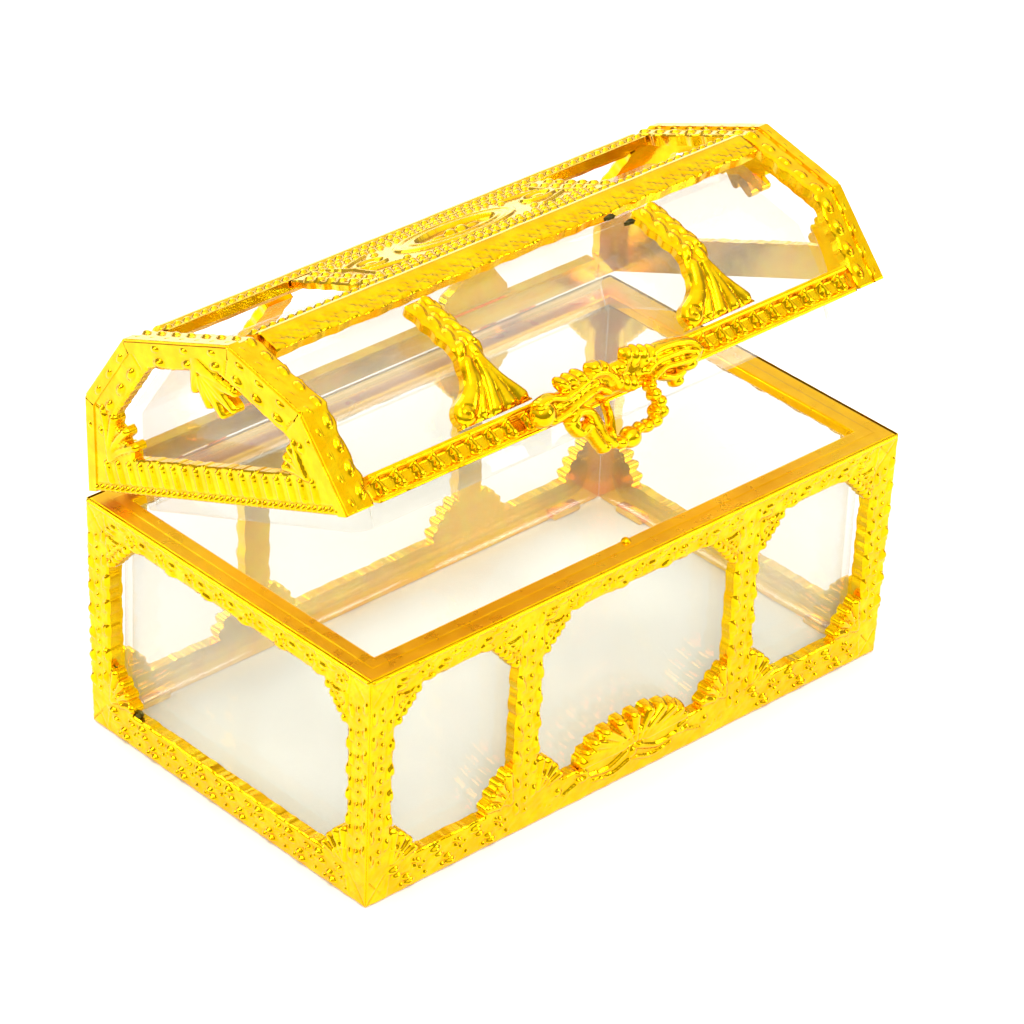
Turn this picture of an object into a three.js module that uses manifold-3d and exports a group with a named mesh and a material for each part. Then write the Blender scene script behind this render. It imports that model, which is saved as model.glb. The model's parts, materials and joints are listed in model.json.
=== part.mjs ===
// A small keepsake chest: gold-plated openwork frames that hold two clear moulded shells.
//
// Millimetres, +Z up. The origin is the middle of the base's underside. X runs along the chest,
// the front with the lock faces -Y and the hinges are at +Y. The lid stands part open.
import * as THREE from 'three';
import { mergeVertices } from 'three/addons/utils/BufferGeometryUtils.js';
import Module from 'manifold-3d';

const wasm = await Module();
wasm.setup();

// ---- Driving dimensions of the base ----
const baseLength = 95;
const baseWidth = 56.6;
const baseHeight = 34.8;
const baseDraft = 0.55;        // how far each wall leans in at its foot
const baseWall = 2;
const cornerStile = 4.6;       // from a corner to the first window
const postWidth = 4.2;         // between two windows of a long wall
const middleWindow = 34.6;     // width of the middle window of a long wall
const bottomRail = 4.9;
const topRail = 3.6;
const fillerWidth = 5;         // leaf in each corner of a base window
const fillerHeight = 5.6;

const rimWidth = 4.6;          // from the wall's outer face to the opening
const rimThickness = 1.6;
const rimLip = 0.5;            // of the wall, standing outside the rim
const catchRadius = 0.7;
const catchHeight = 0.6;       // of the catch's crown above the rim
const catchProud = 0.12;       // of the catch, past the rim's inner edge

const crestWidth = 20.4;
const crestHeight = 4.9;
const crestProud = 0.6;        // in front of the wall
const crestLobes = 11;
const crestFlute = 0.06;       // share of the crest's size between its lobes
const crestSetBack = 0.2;      // from the wall's inner face to the crest's back

// ---- Driving dimensions of the lid ----
const lidEndInset = 0.35;      // from the base's end to the lid's
const lidSideInset = 0.85;     // from the base's front or back to the lid's
const lidHeight = 21.4;
const kneeHeight = 13.3;
const kneeInset = 4.7;
const shoulderInset = 16.4;
const endPlate = 1.8;          // thickness of an end's face
const endBand = 5;             // length of an end, along X
const bandThickness = 2;
const endRail = 4.8;           // fluted rail along an end's foot
const endSideBand = 5;         // from the lower facet to the end's window
const endSlopeBand = 5.4;
const endTopBand = 3.9;
const endFiller = 4.6;
const endFillerHeel = 1.15;    // how far the leaf in a lower corner still reaches in at its tip
const leafWidth = 7.6;
const leafDrop = 6;
const leafThickness = 1.2;

const lidRail = 3.7;           // height of the rails along the lid's long edges
const lidRailThickness = 2.2;
const ribSpacing = 39.4;       // between the two ribs of a side
const ribWidth = 4.6;
const ribFootWidth = 12.4;
const ribFootHeight = 5.2;
const ribThickness = 2;
const ridgeDrop = 2.4;         // how far a ridge rail comes down the slope
const ridgeWidth = 3;          // its width on the flat top
const ridgeThickness = 1.8;
const topPanelLength = 44.6;
const topPanelThickness = 1.5;

const lockOffset = -2.7;       // of the scroll's middle along the lid's front rail
const lockWidth = 29.2;
const lockThickness = 1.9;
const lockHeight = 6.4;        // above the lid's lower edge
const lockShoulder = 4.4;      // height of the scroll's two ends
const lockDip = 0.4;           // how far the scroll's ends hang below the lid's lower edge
const lockCurl = 3.7;          // length of the curl at each end
const padWidth = 18.6;         // of the pad that joins the scroll to the front rail
const loopWidth = 13;
const loopDrop = 6.6;          // below the lid's lower edge
const loopCorner = 3.7;        // of the two rounded corners at the loop's foot
const loopOpeningWidth = 6.2;
const loopOpeningHeight = 4;
const loopOpeningTop = 0.9;    // of the loop's opening, above the lid's lower edge
const loopOpeningMiddle = 0.6; // to the right of the scroll's middle
const padFoot = 1.1;           // of the pad behind the scroll, above the lid's lower edge

// ---- Driving dimensions of the clear shells ----
const linerWall = 1;
const trayCorner = 3;
const trayBottomRadius = 3.5;
const skirtDepth = 4;
const skirtCorner = 2.75;
const skirtClearance = 0.4;    // between the skirt and the rim's opening
const trayLeastCorner = 0.2;   // of the tray's corner beyond its bottom radius
const domeInset = 4.5;         // from the lid's upper facets to the dome

// ---- Driving dimensions of the hinges and of the fits ----
const hingeSpacing = 56;
const hingeRise = 0.3;         // from the rim's top to the pin
const knuckleRadius = 1.4;
const pinRadius = 0.6;
const pinClearance = 0.12;
const baseKnuckle = 3;
const lidKnuckle = 4;
const leafPlate = 2.2;         // height of a hinge leaf on the rear wall
const wallLeafRoot = 0.3;      // how deep a hinge leaf is rooted in the rear wall
const railLeafRoot = 0.9;      // how deep a hinge leaf is rooted in the lid's rear rail
const lugLength = 5;
const lugDepth = 0.9;
const lugHeight = 1.1;
const lugInset = 9.5;          // from a wall's end to the middle of its lug
const gap = 0.3;               // between two pieces that touch
const openAngle = 21.9;        // degrees that the lid stands open

// ---- Worked-out values ----
const over = 1;                // how far a cutter runs past what it cuts
const lidLength = baseLength - 2 * lidEndInset;
const lidWidth = baseWidth - 2 * lidSideInset;
const hingeBack = knuckleRadius + gap;    // from the rear wall to the pin
const boreRadius = pinRadius + pinClearance;
const pinY = baseWidth / 2 + hingeBack;
const pinZ = baseHeight + hingeRise;
const lidFloor = baseHeight + gap;
const roundSteps = 24;

const gold = () => new THREE.MeshStandardMaterial({ color: 0xf7cf1e, metalness: 1, roughness: 0.24 });
const clear = () => new THREE.MeshStandardMaterial({
  color: 0xf3f5f6, metalness: 0, roughness: 0.05, transparent: true, opacity: 0.3,
});

// ---- Joining and cutting ----
function solid(geometry) {
  const bare = geometry.index ? geometry.toNonIndexed() : geometry.clone();
  bare.deleteAttribute('normal');
  bare.deleteAttribute('uv');
  const merged = mergeVertices(bare, 1e-5);
  return new wasm.Manifold(new wasm.Mesh({
    numProp: 3,
    vertProperties: new Float32Array(merged.attributes.position.array),
    triVerts: new Uint32Array(merged.index.array),
  }));
}

function geometryOf(body) {
  const mesh = body.getMesh();
  const geometry = new THREE.BufferGeometry();
  geometry.setAttribute('position', new THREE.BufferAttribute(new Float32Array(mesh.vertProperties), 3));
  geometry.setIndex(new THREE.BufferAttribute(new Uint32Array(mesh.triVerts), 1));
  return geometry;
}

function piece(name, body, material) {
  const mesh = new THREE.Mesh(geometryOf(body), material);
  mesh.name = name;
  return mesh;
}

// ---- Basic solids ----
function block(x0, x1, y0, y1, z0, z1) {
  const geometry = new THREE.BoxGeometry(x1 - x0, y1 - y0, z1 - z0);
  geometry.translate((x0 + x1) / 2, (y0 + y1) / 2, (z0 + z1) / 2);
  return solid(geometry);
}

// A plan drawn in X and Y, standing from z0 to z1.
function standing(shape, z0, z1, curveSegments = 6) {
  const geometry = new THREE.ExtrudeGeometry(shape, { depth: z1 - z0, bevelEnabled: false, curveSegments });
  geometry.translate(0, 0, z0);
  return solid(geometry);
}

// An elevation drawn in X and Z, running from y0 to y1.
function deep(shape, y0, y1, curveSegments = 6) {
  const geometry = new THREE.ExtrudeGeometry(shape, { depth: y1 - y0, bevelEnabled: false, curveSegments });
  geometry.rotateX(Math.PI / 2);
  geometry.translate(0, y1, 0);
  return solid(geometry);
}

// A section drawn in Y and Z, running from x0 to x1.
function long(shape, x0, x1, curveSegments = 6) {
  const geometry = new THREE.ExtrudeGeometry(shape, { depth: x1 - x0, bevelEnabled: false, curveSegments });
  geometry.rotateX(Math.PI / 2);
  geometry.rotateZ(Math.PI / 2);
  geometry.translate(x0, 0, 0);
  return solid(geometry);
}

function rod(radius, x0, x1, y, z) {
  const geometry = new THREE.CylinderGeometry(radius, radius, x1 - x0, roundSteps);
  geometry.rotateZ(Math.PI / 2);
  geometry.translate((x0 + x1) / 2, y, z);
  return solid(geometry);
}

const polygon = (points) => new THREE.Shape(points.map(([a, b]) => new THREE.Vector2(a, b)));

function roundedPlan(halfX, halfY, radius) {
  const shape = new THREE.Shape();
  shape.absarc(halfX - radius, halfY - radius, radius, 0, Math.PI / 2);
  shape.absarc(radius - halfX, halfY - radius, radius, Math.PI / 2, Math.PI);
  shape.absarc(radius - halfX, radius - halfY, radius, Math.PI, Math.PI * 1.5);
  shape.absarc(halfX - radius, radius - halfY, radius, Math.PI * 1.5, Math.PI * 2);
  return shape;
}

// ---- Base walls, drawn as the front wall: outer face at y = 0, inside at +Y ----
function windowShape(x0, x1) {
  const z0 = bottomRail;
  const z1 = baseHeight - topRail;
  const swell = 0.75;          // how far a corner leaf swells towards its own corner point
  const inX = fillerWidth * swell;
  const inZ = fillerHeight * swell;
  const shape = new THREE.Shape();
  shape.moveTo(x0 + fillerWidth, z0);
  shape.lineTo(x1 - fillerWidth, z0);
  shape.quadraticCurveTo(x1 - inX, z0 + inZ, x1, z0 + fillerHeight);
  shape.lineTo(x1, z1 - fillerHeight);
  shape.quadraticCurveTo(x1 - inX, z1 - inZ, x1 - fillerWidth, z1);
  shape.lineTo(x0 + fillerWidth, z1);
  shape.quadraticCurveTo(x0 + inX, z1 - inZ, x0, z1 - fillerHeight);
  shape.lineTo(x0, z0 + fillerHeight);
  shape.quadraticCurveTo(x0 + inX, z0 + inZ, x0 + fillerWidth, z0);
  return shape;
}

// The wall leans in towards its foot, so each height moves inwards by its share of the draft.
const draftAt = (z) => baseDraft * (1 - z / baseHeight);

function lean(body) {
  return body.warp((vertex) => {
    vertex[1] += draftAt(vertex[2]);
  });
}

function baseWallBody(length, windows) {
  let body = block(-length / 2, length / 2, 0, baseWall, 0, baseHeight);
  for (const [x0, x1] of windows) {
    body = body.subtract(deep(windowShape(x0, x1), -over, baseWall + over, 4));
  }
  for (const side of [-1, 1]) {
    const lugX = side * (length / 2 - lugInset);
    const from = lugX - lugLength / 2;
    body = body.add(block(from, from + lugLength, baseWall / 2, baseWall + lugDepth, 0, lugHeight));
  }
  body = lean(body);
  const seatFloor = baseHeight - rimThickness - gap;
  body = body.subtract(block(-length, length, rimLip, length, seatFloor, baseHeight + over));
  const mitre = length / 2 - gap / Math.SQRT2;
  const reach = rimWidth + rimLip;
  const plan = polygon([
    [-mitre - over, -over], [mitre + over, -over], [mitre - reach, reach], [reach - mitre, reach],
  ]);
  return body.intersect(standing(plan, -over, baseHeight + over));
}

function longWallBody() {
  const sideWindow = (baseLength - 2 * cornerStile - 2 * postWidth - middleWindow) / 2;
  const outer = baseLength / 2 - cornerStile;
  return baseWallBody(baseLength, [
    [-outer, -outer + sideWindow],
    [-middleWindow / 2, middleWindow / 2],
    [outer - sideWindow, outer],
  ]);
}

function endWallBody() {
  const outer = baseWidth / 2 - cornerStile;
  return baseWallBody(baseWidth, [[-outer, outer]]);
}

function baseHinges(body) {
  let joined = body;
  for (const side of [-1, 1]) {
    const middle = side * hingeSpacing / 2;
    const inner = lidKnuckle / 2 + gap;
    for (const half of [-1, 1]) {
      const from = half < 0 ? middle - inner - baseKnuckle : middle + inner;
      const to = from + baseKnuckle;
      joined = joined.add(rod(knuckleRadius, from, to, -hingeBack, pinZ));
      joined = joined.add(block(from, to, -hingeBack, wallLeafRoot, pinZ - leafPlate, baseHeight - gap));
    }
    const bore = inner + baseKnuckle + over;
    joined = joined.subtract(rod(boreRadius, middle - bore, middle + bore, -hingeBack, pinZ));
  }
  return joined;
}

function crestBody() {
  const foot = bottomRail + gap;
  const steps = crestLobes * 6;
  const points = [];
  for (let i = 0; i <= steps; i += 1) {
    const turn = Math.PI * i / steps;
    const lobe = 1 - crestFlute * (1 - Math.abs(Math.sin(turn * crestLobes)));
    points.push([Math.cos(turn) * lobe * crestWidth / 2, foot + Math.sin(turn) * lobe * crestHeight]);
  }
  return lean(deep(polygon(points), -crestProud, baseWall - crestSetBack));
}

function rimBody() {
  const halfX = baseLength / 2 - rimLip - gap;
  const halfY = baseWidth / 2 - rimLip - gap;
  const openX = baseLength / 2 - rimWidth;
  const openY = baseWidth / 2 - rimWidth;
  const floor = baseHeight - rimThickness;
  const opening = block(-openX, openX, -openY, openY, floor - over, baseHeight + over);
  const ball = new THREE.SphereGeometry(catchRadius, 16, 10);
  ball.translate(0, -openY - catchRadius + catchProud, baseHeight + catchHeight - catchRadius);
  return block(-halfX, halfX, -halfY, halfY, floor, baseHeight).subtract(opening).add(solid(ball));
}

// ---- Clear tray in the base ----
function traySkin(inset, floor, top) {
  const halfX = baseLength / 2 - baseDraft - baseWall - gap - inset;
  const halfY = baseWidth / 2 - baseDraft - baseWall - gap - inset;
  const radius = trayBottomRadius - inset;
  const corner = Math.max(trayCorner - inset - radius, trayLeastCorner);
  const plan = roundedPlan(halfX - radius, halfY - radius, corner);
  const geometry = new THREE.ExtrudeGeometry(plan, {
    depth: top - floor, bevelEnabled: true, bevelThickness: radius, bevelSize: radius, bevelSegments: 4,
    curveSegments: 4,
  });
  geometry.translate(0, 0, floor + radius);
  const above = block(-baseLength, baseLength, -baseWidth, baseWidth, top, top + baseHeight);
  return solid(geometry).subtract(above);
}

function trayBody() {
  const top = baseHeight - rimThickness - 2 * gap;
  return traySkin(0, 0, top).subtract(traySkin(linerWall, linerWall, top + over));
}

// ---- Lid, drawn closed: centred on X and Y, its lower edge at z = 0 ----
// One side of the lid's section, from its foot up to the flat top.
const foot = new THREE.Vector2(lidWidth / 2, 0);
const knee = new THREE.Vector2(lidWidth / 2 - kneeInset, kneeHeight);
const shoulder = new THREE.Vector2(lidWidth / 2 - shoulderInset, lidHeight);

// The line through a and b, moved inwards by a distance.
function facet(a, b, inset) {
  const along = b.clone().sub(a).normalize();
  const inwards = new THREE.Vector2(-along.y, along.x);
  return { at: a.clone().addScaledVector(inwards, inset), along };
}

function meet(first, second) {
  const between = second.at.clone().sub(first.at);
  const scale = between.cross(second.along) / first.along.cross(second.along);
  return first.at.clone().addScaledVector(first.along, scale);
}

const level = (z) => ({ at: new THREE.Vector2(0, z), along: new THREE.Vector2(1, 0) });

// The corners of one side of the section with its facets moved inwards.
function sideCorners(lower, upper, top, floor) {
  const lowerFacet = facet(foot, knee, lower);
  const upperFacet = facet(knee, shoulder, upper);
  return [
    meet(lowerFacet, level(floor)),
    meet(lowerFacet, upperFacet),
    meet(upperFacet, level(lidHeight - top)),
  ];
}

function archShape(lower, upper, top, floor) {
  const side = sideCorners(lower, upper, top, floor);
  const other = side.map((p) => new THREE.Vector2(-p.x, p.y)).reverse();
  return new THREE.Shape([...side, ...other]);
}

// The window of an end, with a leaf in both lower corners.
function endWindowShape() {
  const [low, bend, high] = sideCorners(endSideBand, endSlopeBand, endTopBand, endRail);
  const shape = new THREE.Shape();
  const heel = low.x - endFillerHeel;
  shape.moveTo(low.x - endFiller, low.y);
  shape.quadraticCurveTo(heel, low.y + endFillerHeel, heel, low.y + endFiller);
  shape.lineTo(bend.x, bend.y);
  shape.lineTo(high.x, high.y);
  shape.lineTo(-high.x, high.y);
  shape.lineTo(-bend.x, bend.y);
  shape.lineTo(-heel, low.y + endFiller);
  shape.quadraticCurveTo(-heel, low.y + endFillerHeel, endFiller - low.x, low.y);
  return shape;
}

// A leaf with five pointed lobes, hanging from the top of the end's window.
function leafShape() {
  const root = lidHeight - endTopBand + leafThickness;
  const middle = root - leafDrop / 3;
  const lobes = 5;
  const points = [[leafWidth / 8, root], [-leafWidth / 8, root]];
  for (let i = 0; i < lobes; i += 1) {
    const turn = Math.PI * (1 + i / (lobes - 1));
    const reach = leafDrop / 3 + leafDrop / 3 * Math.abs(Math.sin(turn));
    const half = Math.PI / (lobes - 1) / 2;
    points.push([Math.cos(turn) * leafWidth / 2, middle + Math.sin(turn) * reach]);
    if (i < lobes - 1) {
      points.push([Math.cos(turn + half) * leafWidth / 4, middle + Math.sin(turn + half) * leafDrop / 4]);
    }
  }
  return polygon(points);
}

function lidEndBody(side) {
  const outer = side * lidLength / 2;
  const run = (shape, a, b) => long(shape, Math.min(outer - side * a, outer - side * b),
    Math.max(outer - side * a, outer - side * b), 4);
  return run(archShape(0, 0, 0, 0), 0, endBand)
    .subtract(run(archShape(bandThickness, bandThickness, bandThickness, -over), endPlate, endBand + over))
    .subtract(run(endWindowShape(), -over, endPlate + over))
    .add(run(leafShape(), endPlate - leafThickness, endPlate));
}

const betweenEnds = lidLength / 2 - endBand - gap;

function lidRailBody() {
  const lower = facet(foot, knee, 0);
  const top = meet(lower, level(lidRail));
  const inside = foot.x - lidRailThickness;
  const section = polygon([[foot.x, 0], [top.x, lidRail], [inside, lidRail], [inside, 0]]);
  return long(section, -betweenEnds, betweenEnds);
}

function lidRearRailBody() {
  let joined = lidRailBody();
  for (const side of [-1, 1]) {
    const middle = side * hingeSpacing / 2;
    const from = middle - lidKnuckle / 2;
    const to = middle + lidKnuckle / 2;
    joined = joined.add(rod(knuckleRadius, from, to, pinY, pinZ - lidFloor));
    joined = joined.add(block(from, to, lidWidth / 2 - railLeafRoot, pinY, 0, knuckleRadius));
    joined = joined.subtract(rod(boreRadius, from - over, to + over, pinY, pinZ - lidFloor));
  }
  return joined;
}

// A rib bends over the two facets of one side and spreads into a foot on the rail.
function ribBody(x, side) {
  const top = lidHeight - ridgeDrop - gap;
  const bottom = lidRail + gap;
  const skin = archShape(0, 0, 0, 0);
  const core = archShape(ribThickness, ribThickness, ribThickness, -over);
  const half = ribWidth / 2;
  const footHalf = ribFootWidth / 2;
  const face = new THREE.Shape();
  face.moveTo(x - footHalf, bottom);
  face.lineTo(x + footHalf, bottom);
  face.quadraticCurveTo(x + half, bottom + ribFootHeight / 4, x + half, bottom + ribFootHeight);
  face.lineTo(x + half, top);
  face.lineTo(x - half, top);
  face.lineTo(x - half, bottom + ribFootHeight);
  face.quadraticCurveTo(x - half, bottom + ribFootHeight / 4, x - footHalf, bottom);
  const shell = long(skin, x - footHalf, x + footHalf)
    .subtract(long(core, x - ribFootWidth, x + ribFootWidth));
  const near = side < 0 ? -lidWidth : 0;
  return shell.intersect(deep(face, near, near + lidWidth));
}

// A ridge rail caps the edge between the upper facet and the flat top.
function ridgeBody(side) {
  const upper = facet(knee, shoulder, 0);
  const inner = facet(knee, shoulder, ridgeThickness);
  const lip = meet(upper, level(lidHeight - ridgeDrop));
  const root = meet(inner, level(lidHeight - ridgeDrop));
  const bend = meet(inner, level(lidHeight - ridgeThickness));
  const points = [
    [lip.x, lip.y], [shoulder.x, shoulder.y], [shoulder.x - ridgeWidth, lidHeight],
    [shoulder.x - ridgeWidth, lidHeight - ridgeThickness], [bend.x, bend.y], [root.x, root.y],
  ];
  return long(polygon(points.map(([y, z]) => [y * side, z])), -betweenEnds, betweenEnds);
}

function topPanelBody() {
  const half = shoulder.x - ridgeWidth - gap;
  const end = topPanelLength / 2;
  return block(-end, end, -half, half, lidHeight - topPanelThickness, lidHeight);
}

// ---- Clear dome in the lid ----
function domeSkin(inset, floor) {
  const halfX = baseLength / 2 - rimWidth - skirtClearance - inset;
  const halfY = baseWidth / 2 - rimWidth - skirtClearance - inset;
  const slope = Math.atan2(kneeInset, kneeHeight);
  const lower = (lidWidth / 2 - halfY) * Math.cos(slope);
  const [low, bend, high] = sideCorners(lower, domeInset + inset, domeInset + inset, 0);
  const side = [[halfY, floor], [low.x, low.y], [bend.x, bend.y], [high.x, high.y]];
  const section = polygon([...side, ...side.map(([y, z]) => [-y, z]).reverse()]);
  const plan = roundedPlan(halfX, halfY, skirtCorner - inset);
  return long(section, -halfX, halfX).intersect(standing(plan, floor, lidHeight, 5));
}

function domeBody() {
  return domeSkin(0, -skirtDepth).subtract(domeSkin(linerWall, -skirtDepth - over));
}

// ---- Lock ornament: a scroll with a loop hanging under it ----
function lockShape() {
  const half = lockWidth / 2;
  const loopHalf = loopWidth / 2;
  const shape = new THREE.Shape();
  shape.moveTo(-half, lockDip);
  shape.quadraticCurveTo(-half, -lockDip, lockCurl - half, -lockDip);
  shape.lineTo(-loopHalf, 0);
  shape.lineTo(-loopHalf, loopCorner - loopDrop);
  shape.quadraticCurveTo(-loopHalf, -loopDrop, loopCorner - loopHalf, -loopDrop);
  shape.lineTo(loopHalf - loopCorner, -loopDrop);
  shape.quadraticCurveTo(loopHalf, -loopDrop, loopHalf, loopCorner - loopDrop);
  shape.lineTo(loopHalf, 0);
  shape.lineTo(half - lockCurl, -lockDip);
  shape.quadraticCurveTo(half, -lockDip, half, lockDip);
  shape.quadraticCurveTo(half, lockShoulder, half - lockCurl, lockShoulder);
  shape.quadraticCurveTo(half / 2, lockHeight, 0, lockHeight);
  shape.quadraticCurveTo(-half / 2, lockHeight, lockCurl - half, lockShoulder);
  shape.quadraticCurveTo(-half, lockShoulder, -half, lockDip);
  return shape;
}

function lockBody() {
  const back = -baseWidth / 2 - gap;
  const seat = -lidWidth / 2 - gap;
  const left = loopOpeningMiddle - loopOpeningWidth / 2;
  const opening = block(left, left + loopOpeningWidth, back - lockThickness - over, back + over,
    loopOpeningTop - loopOpeningHeight, loopOpeningTop);
  const pad = block(-padWidth / 2, padWidth / 2, back - gap, seat, padFoot, lidRail);
  const scroll = deep(lockShape(), back - lockThickness, back, 4).subtract(opening).add(pad);
  return scroll.translate([lockOffset, 0, 0]);
}

// ---- Assembly ----
const chest = new THREE.Group();

function addWall(name, body, turn, distance) {
  const mesh = piece(name, body, gold());
  mesh.rotation.z = turn;
  mesh.position.set(Math.sin(turn) * distance, -Math.cos(turn) * distance, 0);
  chest.add(mesh);
}

addWall('base_front_wall', longWallBody(), 0, baseWidth / 2);
addWall('base_crest', crestBody(), 0, baseWidth / 2);
addWall('base_rear_wall', baseHinges(longWallBody()), Math.PI, baseWidth / 2);
addWall('base_left_wall', endWallBody(), -Math.PI / 2, baseLength / 2);
addWall('base_right_wall', endWallBody(), Math.PI / 2, baseLength / 2);
chest.add(piece('base_rim', rimBody(), gold()));
chest.add(piece('base_clear_tray', trayBody(), clear()));
for (const [name, side] of [['left', -1], ['right', 1]]) {
  const half = lidKnuckle / 2 + gap + baseKnuckle;
  const middle = side * hingeSpacing / 2;
  chest.add(piece(`hinge_pin_${name}`, rod(pinRadius, middle - half, middle + half, pinY, pinZ), gold()));
}

const lidSwing = new THREE.Group();
lidSwing.position.set(0, pinY, pinZ);
lidSwing.rotation.x = -THREE.MathUtils.degToRad(openAngle);
chest.add(lidSwing);
const lid = new THREE.Group();
lid.position.set(0, -pinY, lidFloor - pinZ);
lidSwing.add(lid);

for (const [name, side] of [['left', -1], ['right', 1]]) {
  lid.add(piece(`lid_${name}_end`, lidEndBody(side), gold()));
  lid.add(piece(`lid_front_rib_${name}`, ribBody(side * ribSpacing / 2, -1), gold()));
  lid.add(piece(`lid_rear_rib_${name}`, ribBody(side * ribSpacing / 2, 1), gold()));
}
const frontRail = piece('lid_front_rail', lidRailBody(), gold());
frontRail.rotation.z = Math.PI;
lid.add(frontRail);
lid.add(piece('lid_rear_rail', lidRearRailBody(), gold()));
lid.add(piece('lid_front_ridge', ridgeBody(-1), gold()));
lid.add(piece('lid_rear_ridge', ridgeBody(1), gold()));
lid.add(piece('lid_top_panel', topPanelBody(), gold()));
lid.add(piece('lid_lock', lockBody(), gold()));
lid.add(piece('lid_clear_dome', domeBody(), clear()));

export default chest;
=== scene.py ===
"""A gilt keepsake chest with clear shells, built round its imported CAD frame.

Each gilt moulding is a plate with a relief: a height field over a grid, cut to its outline, then
laid on the face, the bent strip or the slope where its CAD node is. Drawing units are millimetres.
"""
import json
import math

import bmesh
import bpy
import numpy as np
from mathutils import Matrix, Vector


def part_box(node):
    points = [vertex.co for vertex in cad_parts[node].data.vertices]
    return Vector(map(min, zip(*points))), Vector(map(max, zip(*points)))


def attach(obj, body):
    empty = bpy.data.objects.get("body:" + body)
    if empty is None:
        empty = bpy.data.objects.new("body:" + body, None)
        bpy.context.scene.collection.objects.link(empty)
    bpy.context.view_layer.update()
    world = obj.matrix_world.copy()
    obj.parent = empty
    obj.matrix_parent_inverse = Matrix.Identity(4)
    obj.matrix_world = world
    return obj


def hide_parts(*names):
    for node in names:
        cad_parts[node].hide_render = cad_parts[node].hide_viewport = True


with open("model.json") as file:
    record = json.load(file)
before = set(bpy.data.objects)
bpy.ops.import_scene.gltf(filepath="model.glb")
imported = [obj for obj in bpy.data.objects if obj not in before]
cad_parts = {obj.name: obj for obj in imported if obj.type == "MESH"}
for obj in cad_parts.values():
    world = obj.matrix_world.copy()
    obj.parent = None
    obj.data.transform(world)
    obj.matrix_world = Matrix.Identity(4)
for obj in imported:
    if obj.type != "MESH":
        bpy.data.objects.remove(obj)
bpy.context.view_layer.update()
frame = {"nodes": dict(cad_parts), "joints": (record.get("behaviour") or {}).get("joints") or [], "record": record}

MM = 0.001
PITCH = 0.2                # of the relief grids
FACE = -0.4                # the plain face of a relief, under the CAD surface that its domes reach
EDGE_ROUND = 0.32          # radius of the moulded edges
CORNER_ROUND = 0.1         # radius where two mouldings meet
WALL_LIFT = 0.19           # the wall and end faces stand this much nearer their CAD surface
SEAM = 0.12                # half of the gap between two mouldings
MITRE_GAP = 0.02
SMOOTH_STEPS = 6           # points between two control points of a curve

# ---- Sizes read from the frame ----
joint = frame["joints"][0]
PIVOT = Vector(joint["pos_m"])
SWING = (Matrix.Translation(PIVOT)
         @ Matrix.Rotation(-math.radians(joint["range_deg"][0]), 4, Vector(joint["axis"]))
         @ Matrix.Translation(-PIVOT))


def closed_box(node):
    """Lowest and highest corner of a lid node with the lid closed, in mm from its lower edge."""
    back = SWING.inverted()
    points = np.array([back @ v.co for v in frame["nodes"][node].data.vertices]) / MM
    points[:, 2] -= LID_FLOOR
    return points.min(0), points.max(0)


def node_box(node):
    low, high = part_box(node)
    return np.array(low) / MM, np.array(high) / MM


LID_FLOOR = PIVOT.z / MM
BASE_LOW, BASE_HIGH = node_box("base_front_wall")
BASE_LENGTH = BASE_HIGH[0] - BASE_LOW[0]
BASE_WIDTH = -2 * BASE_LOW[1]
BASE_HEIGHT = BASE_HIGH[2]
WALL = 2.0
DRAFT = 0.55
STILE = 4.6
POST = 4.2
MIDDLE_WINDOW = 34.6
BOTTOM_RAIL = 4.9
TOP_RAIL = 3.6
FILLER = (5.0, 5.6)
RIM_WIDTH = 4.6
RIM_LIP = 0.5
RIM_THICKNESS = 1.6
CREST_LOW, CREST_HIGH = node_box("base_crest")

END_LOW, END_HIGH = closed_box("lid_left_end")
LID_LENGTH = -2 * END_LOW[0]
LID_WIDTH = END_HIGH[1] - END_LOW[1]
LID_HEIGHT = END_HIGH[2]
END_BAND = END_HIGH[0] - END_LOW[0]
END_PLATE = 1.8
KNEE = (4.7, 13.3)         # inset and height
SHOULDER_INSET = 16.4
RAIL_HIGH = closed_box("lid_front_rail")[1]
LID_RAIL = RAIL_HIGH[2]
RIB_LOW, RIB_HIGH = closed_box("lid_front_rib_right")
RIB_MIDDLE = (RIB_LOW[0] + RIB_HIGH[0]) / 2
RIB_HALF = 2.3
FOOT_HALF = (RIB_HIGH[0] - RIB_LOW[0]) / 2
FOOT_HEIGHT = 5.2
RIDGE_DROP = 2.4
RIDGE_WIDTH = 3.0
PANEL_HIGH = closed_box("lid_top_panel")[1]
LOCK_LOW, LOCK_HIGH = closed_box("lid_lock")
BETWEEN_ENDS = RAIL_HIGH[0]
SHEET = 2.0                # thickness of the lid's bent mouldings


# ---- Shapes on a grid ----
def ripple(u, v, size, seed=0.0):
    """Smooth unevenness from -1 to 1, with features of about this size."""
    waves = ((1.0, 0.31), (-0.47, 0.92), (0.73, -0.88), (0.21, 1.3))
    return sum(
        np.sin((a * u + b * v) * math.tau / size + seed + 1.7 * k) for k, (a, b) in enumerate(waves)
    ) / len(waves)


def smooth_path(points, steps=SMOOTH_STEPS):
    """A Catmull-Rom curve through the points."""
    p = np.array([points[0], *points, points[-1]], float)
    path = []
    for k in range(1, len(p) - 2):
        for t in np.linspace(0, 1, steps, endpoint=False):
            path.append(0.5 * (2 * p[k] + (p[k + 1] - p[k - 1]) * t
                               + (2 * p[k - 1] - 5 * p[k] + 4 * p[k + 1] - p[k + 2]) * t ** 2
                               + (3 * p[k] - p[k - 1] - 3 * p[k + 1] + p[k + 2]) * t ** 3))
    return np.array([*path, p[-2]])


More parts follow.
